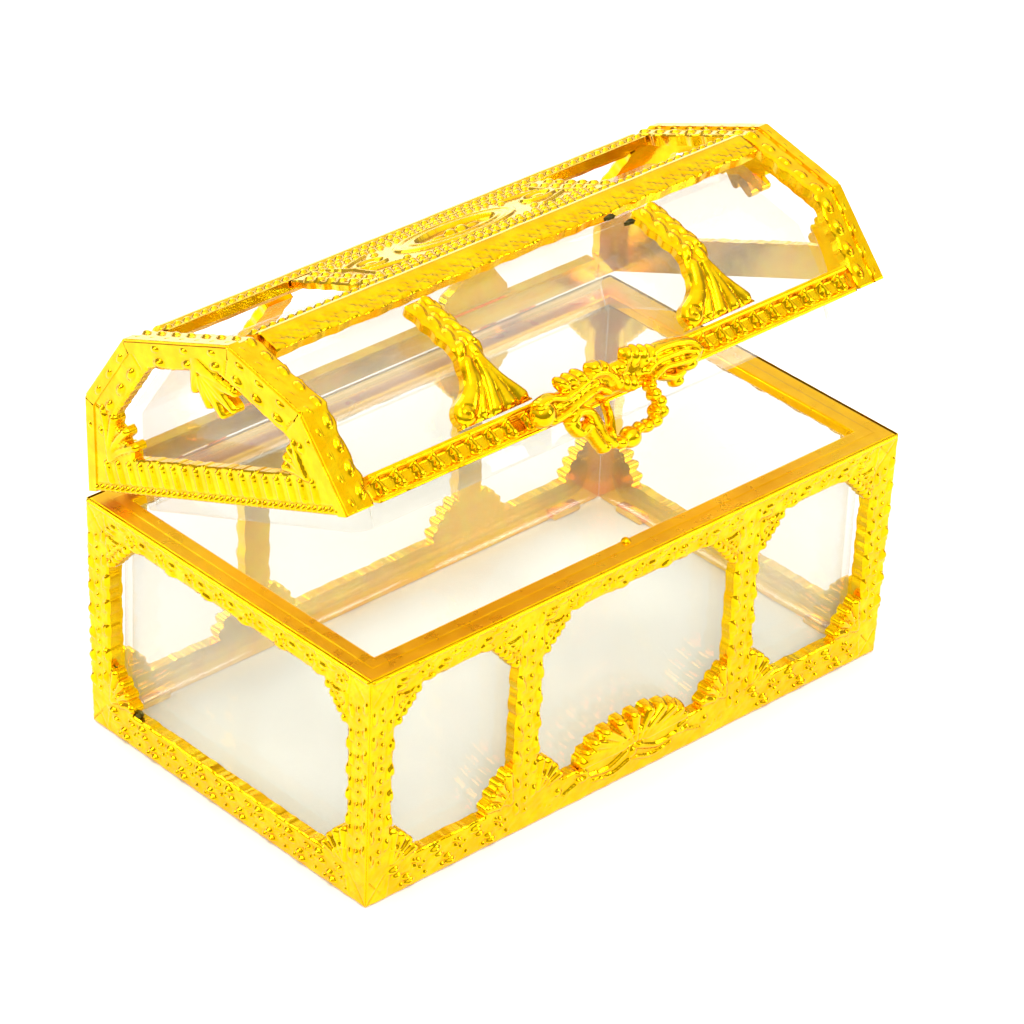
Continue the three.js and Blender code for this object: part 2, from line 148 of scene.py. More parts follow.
class Relief:
    """A moulded plate: height of its face over a grid, and distance inside its outline."""

    def __init__(self, low, high, filled=True):
        self.u = np.linspace(low[0], high[0], int((high[0] - low[0]) / PITCH) + 2)
        self.v = np.linspace(low[1], high[1], int((high[1] - low[1]) / PITCH) + 2)
        self.U, self.V = np.meshgrid(self.u, self.v, indexing="ij")
        self.height = np.full_like(self.U, FACE)
        outline = self.box(low[0], high[0], low[1], high[1])
        self.limit = outline
        self.edge = np.full_like(self.U, 9.0 if filled else -9.0)

    def box(self, u0, u1, v0, v1):
        """Distance inside a rectangle."""
        return np.minimum.reduce([self.U - u0, u1 - self.U, self.V - v0, v1 - self.V])

    def near(self, u, v, reach):
        i = np.searchsorted(self.u, [u - reach, u + reach])
        j = np.searchsorted(self.v, [v - reach, v + reach])
        return slice(*i), slice(*j)

    def raise_to(self, where, share, rise, level, plump, grow, reach):
        """Lifts a rounded crown where share, 0 in the middle and 1 at the rim, is under 1."""
        crown = level + rise * np.clip(1 - share ** 2, 0, 1) ** plump
        inside = share < 1
        self.height[where] = np.where(inside, np.maximum(self.height[where], crown), self.height[where])
        if grow:
            self.edge[where] = np.maximum(self.edge[where], (grow - share) * reach)

    def dome(self, u, v, half_u, half_v, rise, turn=0.0, level=FACE, plump=0.5, grow=0.0):
        """An oval bead. grow widens the outline round it, as a share of its size."""
        where = self.near(u, v, max(half_u, half_v) * max(1, grow) * 1.3)
        du, dv = self.U[where] - u, self.V[where] - v
        c, s = math.cos(turn), math.sin(turn)
        share = np.hypot((du * c + dv * s) / half_u, (dv * c - du * s) / half_v)
        self.raise_to(where, share, rise, level, plump, grow, min(half_u, half_v))

    def along(self, points, half, tip):
        """The grid window near a curve, and each point's distance from it as a share of its half width."""
        path = smooth_path(points)
        low, high = path.min(0) - 2 * half, path.max(0) + 2 * half
        where = (slice(*np.searchsorted(self.u, [low[0], high[0]])),
                 slice(*np.searchsorted(self.v, [low[1], high[1]])))
        u, v = self.U[where], self.V[where]
        share = np.full_like(u, 9.0)
        last = len(path) - 1
        for k in range(last):
            (au, av), (bu, bv) = path[k], path[k + 1]
            span = max((bu - au) ** 2 + (bv - av) ** 2, 1e-9)
            t = np.clip(((u - au) * (bu - au) + (v - av) * (bv - av)) / span, 0, 1)
            width = half * (1 + (tip - 1) * (k + t) / last)
            share = np.minimum(share, np.hypot(u - au - t * (bu - au), v - av - t * (bv - av)) / width)
        return where, share

    def stroke(self, points, half, rise, tip=1.0, level=FACE, plump=0.5, grow=0.0):
        """A rounded ridge along a curve. tip is the width at its end, as a share of its start."""
        where, share = self.along(points, half, tip)
        self.raise_to(where, share, rise, level, plump, grow, half)

    def groove(self, points, half, depth, tip=1.0):
        where, share = self.along(points, half, tip)
        self.height[where] -= depth * np.clip(1 - share ** 2, 0, 1)

    def ring(self, u, v, half_u, half_v, half, rise, level=FACE):
        """A rounded ridge along an ellipse."""
        share = np.hypot((self.U - u) / half_u, (self.V - v) / half_v)
        away = np.abs(share - 1) * min(half_u, half_v) / half
        crown = level + rise * np.sqrt(np.clip(1 - away ** 2, 0, 1))
        self.height = np.where(away < 1, np.maximum(self.height, crown), self.height)

    def cut(self, inside):
        """Removes what lies inside a hole's outline."""
        self.edge = np.minimum(self.edge, -inside)

    def uneven(self, size, depth, seed=0.0):
        self.height += depth * ripple(self.U, self.V, size, seed)


# ---- From a relief to a closed mesh ----
def snapped(relief):
    """Grid points with those beside the outline moved onto it."""
    edge = np.minimum(relief.edge, relief.limit)
    du, dv = relief.u[1] - relief.u[0], relief.v[1] - relief.v[0]
    slope_u, slope_v = np.gradient(edge, du, dv)
    steep = np.maximum(np.hypot(slope_u, slope_v), 0.3)
    away = edge / steep
    near = np.abs(away) < 0.55 * max(du, dv)
    move_u = np.where(near, -away * slope_u / steep, 0)
    move_v = np.where(near, -away * slope_v / steep, 0)
    u = np.clip(relief.U + move_u, relief.u[0], relief.u[-1])
    v = np.clip(relief.V + move_v, relief.v[0], relief.v[-1])
    inside = np.where(near, 0, away)
    return u, v, inside


def kept_faces(inside):
    """Grid cells inside the outline as quads, and as triangles where one corner is outside."""
    index = np.arange(inside.size).reshape(inside.shape)
    corners = np.stack([index[:-1, :-1], index[1:, :-1], index[1:, 1:], index[:-1, 1:]], -1).reshape(-1, 4)
    out = inside.ravel()[corners] < 0
    flat = (inside.ravel()[corners] == 0).all(1)
    whole = corners[(out.sum(1) == 0) & ~flat]
    part = out.sum(1) == 1
    thirds = [np.roll(corners[part & out[:, k]], -k - 1, axis=1)[:, :3] for k in range(4)]
    triangles = np.concatenate(thirds)
    triangles = triangles[(inside.ravel()[triangles] > 0).any(1)]
    return whole.tolist() + triangles.tolist()


def back_faces(faces, inside, back, merge):
    """The front's faces turned over, with whole blocks of a flat back made into single faces."""
    if not merge:
        return [f[::-1] for f in faces]
    index = np.arange(inside.size).reshape(inside.shape)
    rows, columns = ((n - 1) // merge for n in inside.shape)
    whole = np.zeros((rows + 2, columns + 2), bool)
    for i in range(rows):
        for j in range(columns):
            where = (slice(i * merge, (i + 1) * merge + 1), slice(j * merge, (j + 1) * merge + 1))
            whole[i + 1, j + 1] = inside[where].min() > 0 and np.ptp(back[where]) < 1e-6
    merged = []
    for i, j in zip(*np.nonzero(whole)):
        u0, v0 = (i - 1) * merge, (j - 1) * merge
        u1, v1 = u0 + merge, v0 + merge
        sides = ((index[u0:u1, v0], whole[i, j - 1]), (index[u1, v0:v1], whole[i + 1, j]),
                 (index[u1:u0:-1, v1], whole[i, j + 1]), (index[u0, v1:v0:-1], whole[i - 1, j]))
        merged.append([int(k) for side, met in sides for k in (side[:1] if met else side)][::-1])
    span = inside.shape[1]
    loose = [f[::-1] for f in faces
             if not whole[min(f) // span // merge + 1, min(f) % span // merge + 1]]
    return loose + merged


def rounded_off(inside, radius):
    """How far a rounded edge drops at a distance inside it."""
    share = np.clip(1 - np.maximum(inside, 0) / radius, 0, 1)
    return radius * (1 - np.sqrt(1 - 0.96 * share ** 2))


def plate_mesh(relief, place, depth, merge):
    """Vertices and faces of a closed plate. depth is its back under the CAD face, a number or a field."""
    u, v, inside = snapped(relief)
    on_hole = (inside == 0) & (relief.edge <= relief.limit)
    on_border = (inside == 0) & (relief.edge > relief.limit)
    height = relief.height - rounded_off(np.where(on_hole, 0, relief.edge), EDGE_ROUND)
    height -= rounded_off(np.where(on_border, 0, relief.limit), CORNER_ROUND)
    back = np.broadcast_to(np.asarray(-depth, float), height.shape)
    fronts = kept_faces(inside)
    rears = back_faces(fronts, inside, back, merge)
    sides = set()
    for face in fronts:
        for a, b in zip(face, face[1:] + face[:1]):
            if (b, a) in sides:
                sides.remove((b, a))
            else:
                sides.add((a, b))
    size = inside.size
    walls = [[b, a, a + size, b + size] for a, b in sorted(sides)]
    faces = fronts + [[i + size for i in f] for f in rears] + walls
    used = np.unique(np.array([i for f in faces for i in f]))
    number = np.full(2 * size, -1)
    number[used] = np.arange(len(used))
    u, v = u.ravel(), v.ravel()
    points = np.concatenate([place(u, v, height.ravel()), place(u, v, back.ravel())])
    faces = [[int(number[i]) for i in f] for f in faces]
    return points[used], faces, len(fronts), len(rears), np.count_nonzero(used < size)


def closed_plate(relief, place, depth, merge=8):
    """A bmesh of the plate, its front and back joined round every outline. merge is 0 on a bent plate."""
    points, faces, fronts, rears, front_points = plate_mesh(relief, place, depth, merge)
    mesh = bpy.data.meshes.new("plate")
    mesh.from_pydata(points.tolist(), [], faces)
    made = bmesh.new()
    made.from_mesh(mesh)
    bpy.data.meshes.remove(mesh)
    made.faces.ensure_lookup_table()
    for f in made.faces[:fronts]:
        f.smooth = True
    for f in made.faces[fronts + rears:]:
        f.smooth = True
        for e in f.edges:
            if len({v.index >= front_points for v in e.verts}) == 1:
                e.smooth = False
    bmesh.ops.recalc_face_normals(made, faces=made.faces)
    return made


def piece(name, parts, node, material):
    """Joins closed shells into one object that stands for a CAD node."""
    whole = bmesh.new()
    for part in parts:
        held = bpy.data.meshes.new("part")
        part.to_mesh(held)
        whole.from_mesh(held)
        part.free()
        bpy.data.meshes.remove(held)
    mesh = bpy.data.meshes.new(name)
    whole.to_mesh(mesh)
    whole.free()
    mesh.materials.append(material)
    made = bpy.data.objects.new(name, mesh)
    bpy.context.scene.collection.objects.link(made)
    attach(made, BODY_OF[node])
    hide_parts(node)
    return made


BODY_OF = {n: body for body, nodes in frame["record"]["behaviour"]["bodies"].items() for n in nodes}


# ---- Where a drawing lies ----
def in_lid(points):
    """Points drawn in the closed lid, in mm, as places in the frame, in metres."""
    points = np.asarray(points, float) + np.array([0, 0, LID_FLOOR])
    turn = np.array(SWING.to_3x3())
    return points * MM @ turn.T + np.array(SWING.translation)


def in_base(points):
    return np.asarray(points, float) * MM


def on_wall(turn, distance, length):
    """The outer face of a base wall: u along it, v up, h outwards. Its ends are mitred."""
    mitred = 4.0

    def place(u, v, h):
        inwards = np.maximum(DRAFT * (1 - v / BASE_HEIGHT) - h, 0.02)
        start = length / 2 - mitred
        past = np.clip((np.abs(u) - start) / mitred, 0, 1)
        along = np.sign(u) * (np.minimum(np.abs(u), start) + past * (mitred - inwards - MITRE_GAP))
        c, s = math.cos(turn), math.sin(turn)
        x = along * c - inwards * s + s * distance
        y = along * s + inwards * c - c * distance
        return in_base(np.stack([x, y, v], -1))
    return place


def rounded_profile(points, radius, steps=5):
    """A polyline with rounded corners: (distance along it, its points, its normals to the left)."""
    p = np.array(points, float)
    path = [p[0]]
    for k in range(1, len(p) - 1):
        a = (p[k - 1] - p[k]) / np.linalg.norm(p[k - 1] - p[k])
        b = (p[k + 1] - p[k]) / np.linalg.norm(p[k + 1] - p[k])
        for t in np.linspace(0, 1, steps):
            path.append(p[k] + a * radius * (1 - t) ** 2 + b * radius * t ** 2)
    path.append(p[-1])
    path = np.array(path)
    steps_along = np.linalg.norm(np.diff(path, axis=0), axis=1)
    distance = np.concatenate([[0], np.cumsum(steps_along)])
    tangent = np.gradient(path, distance, axis=0)
    tangent /= np.linalg.norm(tangent, axis=1)[:, None]
    return distance, path, np.stack([-tangent[:, 1], tangent[:, 0]], -1)


def on_profile(profile, side):
    """u along X, v along a section drawn in (y, z), h outwards. side is -1 for the lid's front.

    Nothing is put below the lid's lower edge, so that the closed lid clears the rim.
    """
    distance, path, normal = profile

    def place(u, v, h):
        y = np.interp(v, distance, path[:, 0]) + h * np.interp(v, distance, normal[:, 0])
        z = np.maximum(np.interp(v, distance, path[:, 1]) + h * np.interp(v, distance, normal[:, 1]), 0.0)
        return in_lid(np.stack([np.broadcast_to(u, y.shape), side * y, z], -1))
    return place


# The lid's section on its rear side, from the foot to the flat top.
FOOT_POINT = np.array([LID_WIDTH / 2, 0.0])
KNEE_POINT = np.array([LID_WIDTH / 2 - KNEE[0], KNEE[1]])
SHOULDER_POINT = np.array([LID_WIDTH / 2 - SHOULDER_INSET, LID_HEIGHT])


def facet_distance(y, z, a, b):
    """Distance inside the line from a to b, for points of the section's rear side."""
    along = (b - a) / np.linalg.norm(b - a)
    return -along[1] * (y - a[0]) + along[0] * (z - a[1])


def arch_inside(y, z):
    """Distances inside the lid's section: from the lower facets, the upper facets and the top."""
    lower = facet_distance(np.abs(y), z, FOOT_POINT, KNEE_POINT)
    upper = facet_distance(np.abs(y), z, KNEE_POINT, SHOULDER_POINT)
    return lower, upper, LID_HEIGHT - z


# ---- Materials ----
def new_material(name):
    material = bpy.data.materials.new(name)
    material.use_nodes = True
    return material, material.node_tree.nodes, material.node_tree.links


def noise(nodes, links, scale, detail=2.0):
    place = nodes.new("ShaderNodeTexCoord")
    made = nodes.new("ShaderNodeTexNoise")
    made.inputs["Scale"].default_value = scale
    made.inputs["Detail"].default_value = detail
    links.new(place.outputs["Object"], made.inputs["Vector"])
    return made.outputs["Fac"]


def ramp(nodes, links, value, stops):
    made = nodes.new("ShaderNodeValToRGB")
    made.color_ramp.elements[0].position, made.color_ramp.elements[0].color = stops[0]
    made.color_ramp.elements[1].position, made.color_ramp.elements[1].color = stops[-1]
    for place, colour in stops[1:-1]:
        made.color_ramp.elements.new(place).color = colour
    links.new(value, made.inputs["Fac"])
    return made.outputs["Color"]


def spread(nodes, links, value, low, high):
    made = nodes.new("ShaderNodeMapRange")
    made.inputs["From Min"].default_value = 0.3
    made.inputs["From Max"].default_value = 0.7
    made.inputs["To Min"].default_value = low
    made.inputs["To Max"].default_value = high
    links.new(value, made.inputs["Value"])
    return made.outputs["Result"]


def bump(nodes, links, value, strength, distance):
    made = nodes.new("ShaderNodeBump")
    made.inputs["Strength"].default_value = strength
    made.inputs["Distance"].default_value = distance
    links.new(value, made.inputs["Height"])
    return made.outputs["Normal"]


def gilt(name, pale, deep, painted_recess_shade, rough, grain):
    """Vacuum-plated gold: colour drifts between pale and deep, with painted shade: browner in the recesses that
    Pointiness finds.
    """
    material, nodes, links = new_material(name)
    shader = nodes["Principled BSDF"]
    shader.inputs["Metallic"].default_value = 1.0
    shader.inputs["Coat Weight"].default_value = 0.05
    shader.inputs["Coat Roughness"].default_value = 0.05
    drift = ramp(nodes, links, noise(nodes, links, 480, 3.0), ((0.36, (*pale, 1)), (0.64, (*deep, 1))))
    # Painted shade: where Pointiness marks a recess, the colour is mixed towards the darker recess colour.
    shape = nodes.new("ShaderNodeNewGeometry")
    recess_shade_mask = nodes.new("ShaderNodeMapRange")
    recess_shade_mask.inputs["From Min"].default_value = 0.5
    recess_shade_mask.inputs["From Max"].default_value = 0.44
    links.new(shape.outputs["Pointiness"], recess_shade_mask.inputs["Value"])
    mixed = nodes.new("ShaderNodeMix")
    mixed.data_type = "RGBA"
    links.new(recess_shade_mask.outputs["Result"], mixed.inputs["Factor"])
    links.new(drift, mixed.inputs["A"])
    mixed.inputs["B"].default_value = (*painted_recess_shade, 1)
    links.new(mixed.outputs["Result"], shader.inputs["Base Color"])
    links.new(spread(nodes, links, noise(nodes, links, 420), rough - 0.05, rough + 0.08),
              shader.inputs["Roughness"])
    links.new(bump(nodes, links, noise(nodes, links, grain, 3.0), 0.25, 0.00006), shader.inputs["Normal"])
    return material


def clear_plastic(name, haze_low, haze_high):
    """Clear polystyrene seen as a thin wall: mirrors more at a glance, with a faint moulding haze and a painted
    whitish sheen on its sharp edges.
    """
    material, nodes, links = new_material(name)
    haze = nodes["Principled BSDF"]
    haze.inputs["Base Color"].default_value = (0.8, 0.79, 0.66, 1)
    haze.inputs["Roughness"].default_value = 0.3
    tint = (0.955, 0.957, 0.945, 1)
    straight = nodes.new("ShaderNodeBsdfRefraction")
    straight.inputs["Color"].default_value = tint
    straight.inputs["Roughness"].default_value = 0.0
    straight.inputs["IOR"].default_value = 1.0
    open_to_light = nodes.new("ShaderNodeBsdfTransparent")
    open_to_light.inputs["Color"].default_value = tint
    rays = nodes.new("ShaderNodeLightPath")
    through = nodes.new("ShaderNodeMixShader")
    links.new(rays.outputs["Is Shadow Ray"], through.inputs["Fac"])
    links.new(straight.outputs["BSDF"], through.inputs[1])
    links.new(open_to_light.outputs["BSDF"], through.inputs[2])
    gloss = nodes.new("ShaderNodeBsdfGlossy")
    gloss.inputs["Roughness"].default_value = 0.03
    gloss.inputs["Color"].default_value = (0.95, 0.95, 0.95, 1)
    wave = bump(nodes, links, noise(nodes, links, 130), 0.12, 0.0004)
    glance = nodes.new("ShaderNodeLayerWeight")
    links.new(wave, glance.inputs["Normal"])
    links.new(wave, gloss.inputs["Normal"])
    power = nodes.new("ShaderNodeMath")
    power.operation = "POWER"
    power.inputs[1].default_value = 4.0
    links.new(glance.outputs["Facing"], power.inputs[0])
    share = nodes.new("ShaderNodeMapRange")
    share.inputs["To Min"].default_value = 0.035
    share.inputs["To Max"].default_value = 0.4
    links.new(power.outputs["Value"], share.inputs["Value"])
    mirror = nodes.new("ShaderNodeMixShader")
    links.new(share.outputs["Result"], mirror.inputs["Fac"])
    links.new(through.outputs["Shader"], mirror.inputs[1])
    links.new(gloss.outputs["BSDF"], mirror.inputs[2])
    # Painted edge sheen: the haze shader's pale colour is mixed in more where Pointiness marks a sharp edge.
    shape = nodes.new("ShaderNodeNewGeometry")
    edge = nodes.new("ShaderNodeMapRange")
    edge.inputs["From Min"].default_value = 0.54
    edge.inputs["From Max"].default_value = 0.64
    edge.inputs["To Max"].default_value = 0.4
    links.new(shape.outputs["Pointiness"], edge.inputs["Value"])
    total = nodes.new("ShaderNodeMath")
    links.new(spread(nodes, links, noise(nodes, links, 60, 4.0), haze_low, haze_high), total.inputs[0])
    links.new(edge.outputs["Result"], total.inputs[1])
    haze_and_edge_sheen = nodes.new("ShaderNodeMixShader")
    links.new(total.outputs["Value"], haze_and_edge_sheen.inputs["Fac"])
    links.new(mirror.outputs["Shader"], haze_and_edge_sheen.inputs[1])
    links.new(haze.outputs["BSDF"], haze_and_edge_sheen.inputs[2])
    links.new(haze_and_edge_sheen.outputs["Shader"], nodes["Material Output"].inputs["Surface"])
    return material


# The third colour of each gilt is its painted recess shade, mixed in where Pointiness marks a hollow.
GILT = gilt("gilt_embossed", (1.0, 0.65, 0.003), (1.0, 0.53, 0.0), (0.78, 0.41, 0.0), 0.14, 2600)
SATIN = gilt("gilt_satin", (1.0, 0.56, 0.001), (0.97, 0.51, 0.0), (0.78, 0.38, 0.0), 0.3, 3800)
BARE = gilt("gilt_worn", (0.12, 0.1, 0.02), (0.04, 0.035, 0.01), (0.02, 0.02, 0.01), 0.45, 1500)
CLEAR_DOME = clear_plastic("clear_dome", 0.03, 0.07)
CLEAR_TRAY = clear_plastic("clear_tray", 0.05, 0.1)


# ---- Base walls ----
class Filler:
    """A fluted quarter leaf that fills a window's corner. bulge is 1 for a straight diagonal edge."""

    def __init__(self, corner, into, size, flutes, bulge, scallop):
        self.corner, self.into, self.size = corner, into, size
        self.flutes, self.bulge, self.scallop = flutes, bulge, scallop

    def inside(self, relief):
        """Distance inside its outline."""
        du = (relief.U - self.corner[0]) * self.into[0] / self.size[0]
        dv = (relief.V - self.corner[1]) * self.into[1] / self.size[1]
        quarter = (du > -0.2) & (dv > -0.2)
        du, dv = np.maximum(du, 0), np.maximum(dv, 0)
        reach = (du ** self.bulge + dv ** self.bulge) ** (1 / self.bulge)
        turn = np.arctan2(dv, du)
        rim = 1 - self.scallop * (1 - np.abs(np.sin(turn * 2 * self.flutes)))
        return np.where(quarter, (rim - reach) * min(self.size) * 0.8, -9.0)

    def at(self, turn, share):
        """The point at an angle from the window's level edge, and a share of the way to the outline."""
        c, s = math.cos(turn), math.sin(turn)
        reach = share / (c ** self.bulge + s ** self.bulge) ** (1 / self.bulge)
        return (self.corner[0] + self.into[0] * c * reach * self.size[0],
                self.corner[1] + self.into[1] * s * reach * self.size[1])

    def fan(self, relief):
        """Its flutes, with a raised arc and a small bud inside them."""
        step = math.pi / 2 / self.flutes
        for k in range(self.flutes):
            turn = (k + 0.5) * step
            relief.stroke((self.at(turn, 0.5), self.at(turn, 0.9)), 0.3, 0.34, tip=1.9, plump=0.6)
            if k:
                relief.groove((self.at(k * step, 0.55), self.at(k * step, 0.97)), 0.16, 0.22)
        arc = [self.at(math.radians(t), 0.46) for t in (3, 25, 45, 65, 87)]
        relief.stroke(arc, 0.24, 0.3)
        for turn in (20, 45, 70):
            turn = math.radians(turn)
            relief.stroke((self.at(turn, 0.08), self.at(turn + 0.1, 0.36)), 0.2, 0.3, tip=1.8)

    def diagonal(self, relief):
        """Its double border and the leaf strokes behind it."""
        step = math.pi / 2 / self.flutes
        for k in range(self.flutes):
            relief.dome(*self.at((k + 0.5) * step, 0.88), 0.6, 0.6, 0.42, plump=0.9, grow=1.2)
        relief.stroke([self.at(math.radians(t), 0.62) for t in (2, 25, 45, 65, 88)], 0.22, 0.34)
        for turn in (12, 34, 56, 78):
            turn = math.radians(turn)
            path = (self.at(turn, 0.1), self.at(turn + 0.12, 0.34), self.at(turn, 0.54))
            relief.stroke(path, 0.18, 0.3, tip=1.6)


def window(relief, u0, u1, v0, v1, seed):
    """Cuts a window with uneven edges: fluted quarter leaves below, straight scalloped ones above."""
    hole = relief.box(u0, u1, v0, v1)
    hole += 0.13 * ripple(relief.U, relief.V, 3.1, seed) + 0.07 * ripple(relief.U, relief.V, 1.2, seed)
    below = [Filler((u, v0), (into, 1), FILLER, 4, 1.5, 0.13) for u, into in ((u0, 1), (u1, -1))]
    above = [Filler((u, v1), (into, -1), FILLER, 5, 0.95, 0.09) for u, into in ((u0, 1), (u1, -1))]
    for filler in below + above:
        hole = np.minimum(hole, -filler.inside(relief))
    relief.cut(hole)
    for filler in below:
        filler.fan(relief)
    for filler in above:
        filler.diagonal(relief)


def oval_cluster(put, start, side):
    """Four ovals that zigzag across a rail, with a dot between: the rails' repeating motif."""
    put(start, 0.95 * side, 1.05, 0.46, 0.4)
    put(start + 0.6, 0.2 * side, 0.85, 0.36, 0.34)
    put(start + 2.2, -0.4 * side, 0.8, 0.36, 0.36)
    put(start + 2.7, -1.05 * side, 0.95, 0.4, 0.38)
    put(start + 4.1, 0.75 * side, 0.46, 0.4, 0.34)
    put(start + 4.5, -0.15 * side, 0.42, 0.36, 0.3)
    put(start + 5.2, 0.25 * side, 0.34, 0.32, 0.26)
    put(start + 3.4, 0.95 * side, 0.34, 0.3, 0.26)
    put(start + 1.3, -1.05 * side, 0.5, 0.32, 0.3)
    put(start + 3.6, 0.3 * side, 0.5, 0.3, 0.28)
    put(start + 5.4, -0.95 * side, 0.42, 0.32, 0.3)


def rail_ovals(relief, u0, u1, middle, half, side=1):
    """The motif repeated along a level rail. side is 1 if its window is above it."""
    pitch = 6.2
    count = max(1, round((u1 - u0) / pitch))
    step = (u1 - u0) / count

    def put(u, across, half_u, half_v, rise):
        relief.dome(u, middle + across * half, half_u, half_v, rise * 1.4, turn=0.1 * side, plump=0.9)
    for k in range(count):
        oval_cluster(put, u0 + k * step + 0.7, side)


def post_ovals(relief, middle, v0, v1, half):
    """Three staggered columns of upright ovals on a post or a stile."""
    pitch = 3.7
    count = max(1, round((v1 - v0) / pitch))
    step = (v1 - v0) / count
    for k in range(count):
        v = v0 + (k + 0.5) * step
        relief.dome(middle - 0.66 * half, v, 0.42, 1.05, 0.5, turn=0.12, plump=0.9)
        relief.dome(middle + 0.68 * half, v + step * 0.42, 0.42, 1.0, 0.5, turn=-0.1, plump=0.9)
        relief.dome(middle, v + step * 0.2, 0.38, 0.62, 0.42, plump=0.9)
        relief.dome(middle + 0.1, v - step * 0.25, 0.34, 0.42, 0.36, plump=0.9)


def scallops(relief, points, half_u, half_v):
    """Ovals that stand across a window's edge, so that the edge swells round them."""
    for u, v in points:
        relief.dome(u, v, half_u, half_v, 0.5, plump=0.9, grow=1.3)


def corner_lines(relief, u, v, into_u, into_v):
    """The crossed lines scribed where a rail meets a stile."""
    relief.groove(((u, v), (u + into_u * 3.6, v + into_v * 3.6)), 0.14, 0.12)
    relief.groove(((u + into_u * 3.4, v + into_v * 0.3), (u + into_u * 0.4, v + into_v * 3.4)), 0.12, 0.1)
    relief.stroke(((u + into_u * 3.9, v + into_v * 0.5), (u + into_u * 4.3, v + into_v * 3.0)), 0.16, 0.14)


def wall_relief(length, windows, seed):
    relief = Relief((-length / 2, 0), (length / 2, BASE_HEIGHT))
    low, high = BOTTOM_RAIL, BASE_HEIGHT - TOP_RAIL
    for k, (u0, u1) in enumerate(windows):
        window(relief, u0, u1, low, high, seed + k)
        edge_from, edge_to = u0 + FILLER[0] + 0.6, u1 - FILLER[0] - 0.6
        count = max(1, int((edge_to - edge_from) / 6.2) + 1)
        for u in np.linspace(edge_from, edge_to, count):
            scallops(relief, [(u, high + 0.35)], 1.15, 0.42)
        for side, u in ((-1, u0), (1, u1)):
            for v in np.arange(low + FILLER[1] + 1.6, high - FILLER[1], 3.9):
                scallops(relief, [(u + side * 0.35, v)], 0.4, 1.1)
        rail_ovals(relief, u0, u1, high + TOP_RAIL * 0.52, TOP_RAIL * 0.3, -1)
    relief.stroke(((-length / 2 + 0.6, BASE_HEIGHT - 0.3), (length / 2 - 0.6, BASE_HEIGHT - 0.3)), 0.24, 0.3)
    for side in (-1, 1):
        edge = side * (length / 2 - 0.2)
        corner_lines(relief, edge, 0.2, -side, 1)
        corner_lines(relief, edge, BASE_HEIGHT - 0.5, -side, -1)
        post_ovals(relief, side * (length / 2 - STILE / 2), BOTTOM_RAIL + 0.3, high - 0.4, STILE / 2 - 0.2)
    relief.uneven(5.0, 0.035, seed)
    relief.uneven(2.4, 0.035, seed)
    relief.uneven(1.2, 0.025, seed)
    return relief


def wall_depth(relief):
    """The wall's thickness: thin beside the rim's seat, and full below it."""
    seat = BASE_HEIGHT - RIM_THICKNESS - 0.3
    return np.where(relief.V > seat + 0.02, RIM_LIP - SEAM, WALL)


def long_wall_windows():
    outer = BASE_LENGTH / 2 - STILE
    side = outer - MIDDLE_WINDOW / 2 - POST
    return [(-outer, side - outer), (-MIDDLE_WINDOW / 2, MIDDLE_WINDOW / 2), (outer - side, outer)]


def long_wall(with_crest, seed):
    windows = long_wall_windows()
    relief = wall_relief(BASE_LENGTH, windows, seed)
    post = MIDDLE_WINDOW / 2 + POST / 2
    for side in (-1, 1):
        post_ovals(relief, side * post, BOTTOM_RAIL * 0.4, BASE_HEIGHT - TOP_RAIL * 0.6, POST / 2)
        start = windows[0][0] if side < 0 else windows[2][0]
        rail_ovals(relief, start, start + windows[0][1] - windows[0][0], BOTTOM_RAIL * 0.5, BOTTOM_RAIL * 0.3)
    if with_crest:
        rail_leaves(relief)
    else:
        rail_ovals(relief, *windows[1], BOTTOM_RAIL * 0.5, BOTTOM_RAIL * 0.3)
    return relief


def rail_leaves(relief):
    """Long leaf strokes and volutes on the rail under the crest."""
    for side in (-1, 1):
        leaf = ((side * 1.2, 4.2), (side * 4.5, 2.9), (side * 8.5, 3.3), (side * 12.5, 2.2))
        relief.stroke(leaf, 0.5, 0.4, tip=0.3)
        relief.stroke(((side * 0.6, 2.6), (side * 3.6, 1.7), (side * 7.2, 2.1)), 0.36, 0.36, tip=0.4)
        relief.stroke(((side * 9.8, 4.5), (side * 8.4, 4.0), (side * 8.8, 3.1), (side * 10, 3.4)), 0.32, 0.4)
        relief.dome(side * 13.4, 3.1, 0.55, 0.55, 0.4)
        for k in range(3):
            relief.dome(side * (14.6 + 0.9 * k), 1.6 + 0.3 * k, 0.2, 0.2, 0.2)
    relief.dome(0, 3.6, 0.8, 0.8, 0.4)


def end_wall(seed):
    outer = BASE_WIDTH / 2 - STILE
    relief = wall_relief(BASE_WIDTH, [(-outer, outer)], seed)
    rail_ovals(relief, -outer, outer, BOTTOM_RAIL * 0.5, BOTTOM_RAIL * 0.3)
    return relief


def box_part(low, high, bevel=0.15, where=in_base):
    """A block with rounded edges."""
    made = bmesh.new()
    corners = [[x, y, z] for x in (low[0], high[0]) for y in (low[1], high[1]) for z in (low[2], high[2])]
    verts = [made.verts.new(p) for p in corners]
    for f in ((0, 1, 3, 2), (4, 6, 7, 5), (0, 4, 5, 1), (2, 3, 7, 6), (0, 2, 6, 4), (1, 5, 7, 3)):
        made.faces.new([verts[i] for i in f])
    bmesh.ops.bevel(made, geom=made.edges[:], offset=bevel, segments=3, affect="EDGES", profile=0.5)
    return placed(made, where)


def placed(made, where):
    """Moves a part's points, in mm, to their places in the frame, in metres."""
    made.verts.ensure_lookup_table()
    points = where(np.array([v.co[:] for v in made.verts]))
    for v, p in zip(made.verts, points):
        v.co = p
    bmesh.ops.recalc_face_normals(made, faces=made.faces)
    for f in made.faces:
        f.smooth = True
    for e in made.edges:
        if len(e.link_faces) == 2 and e.calc_face_angle(0) > math.radians(38):
            e.smooth = False
    return made


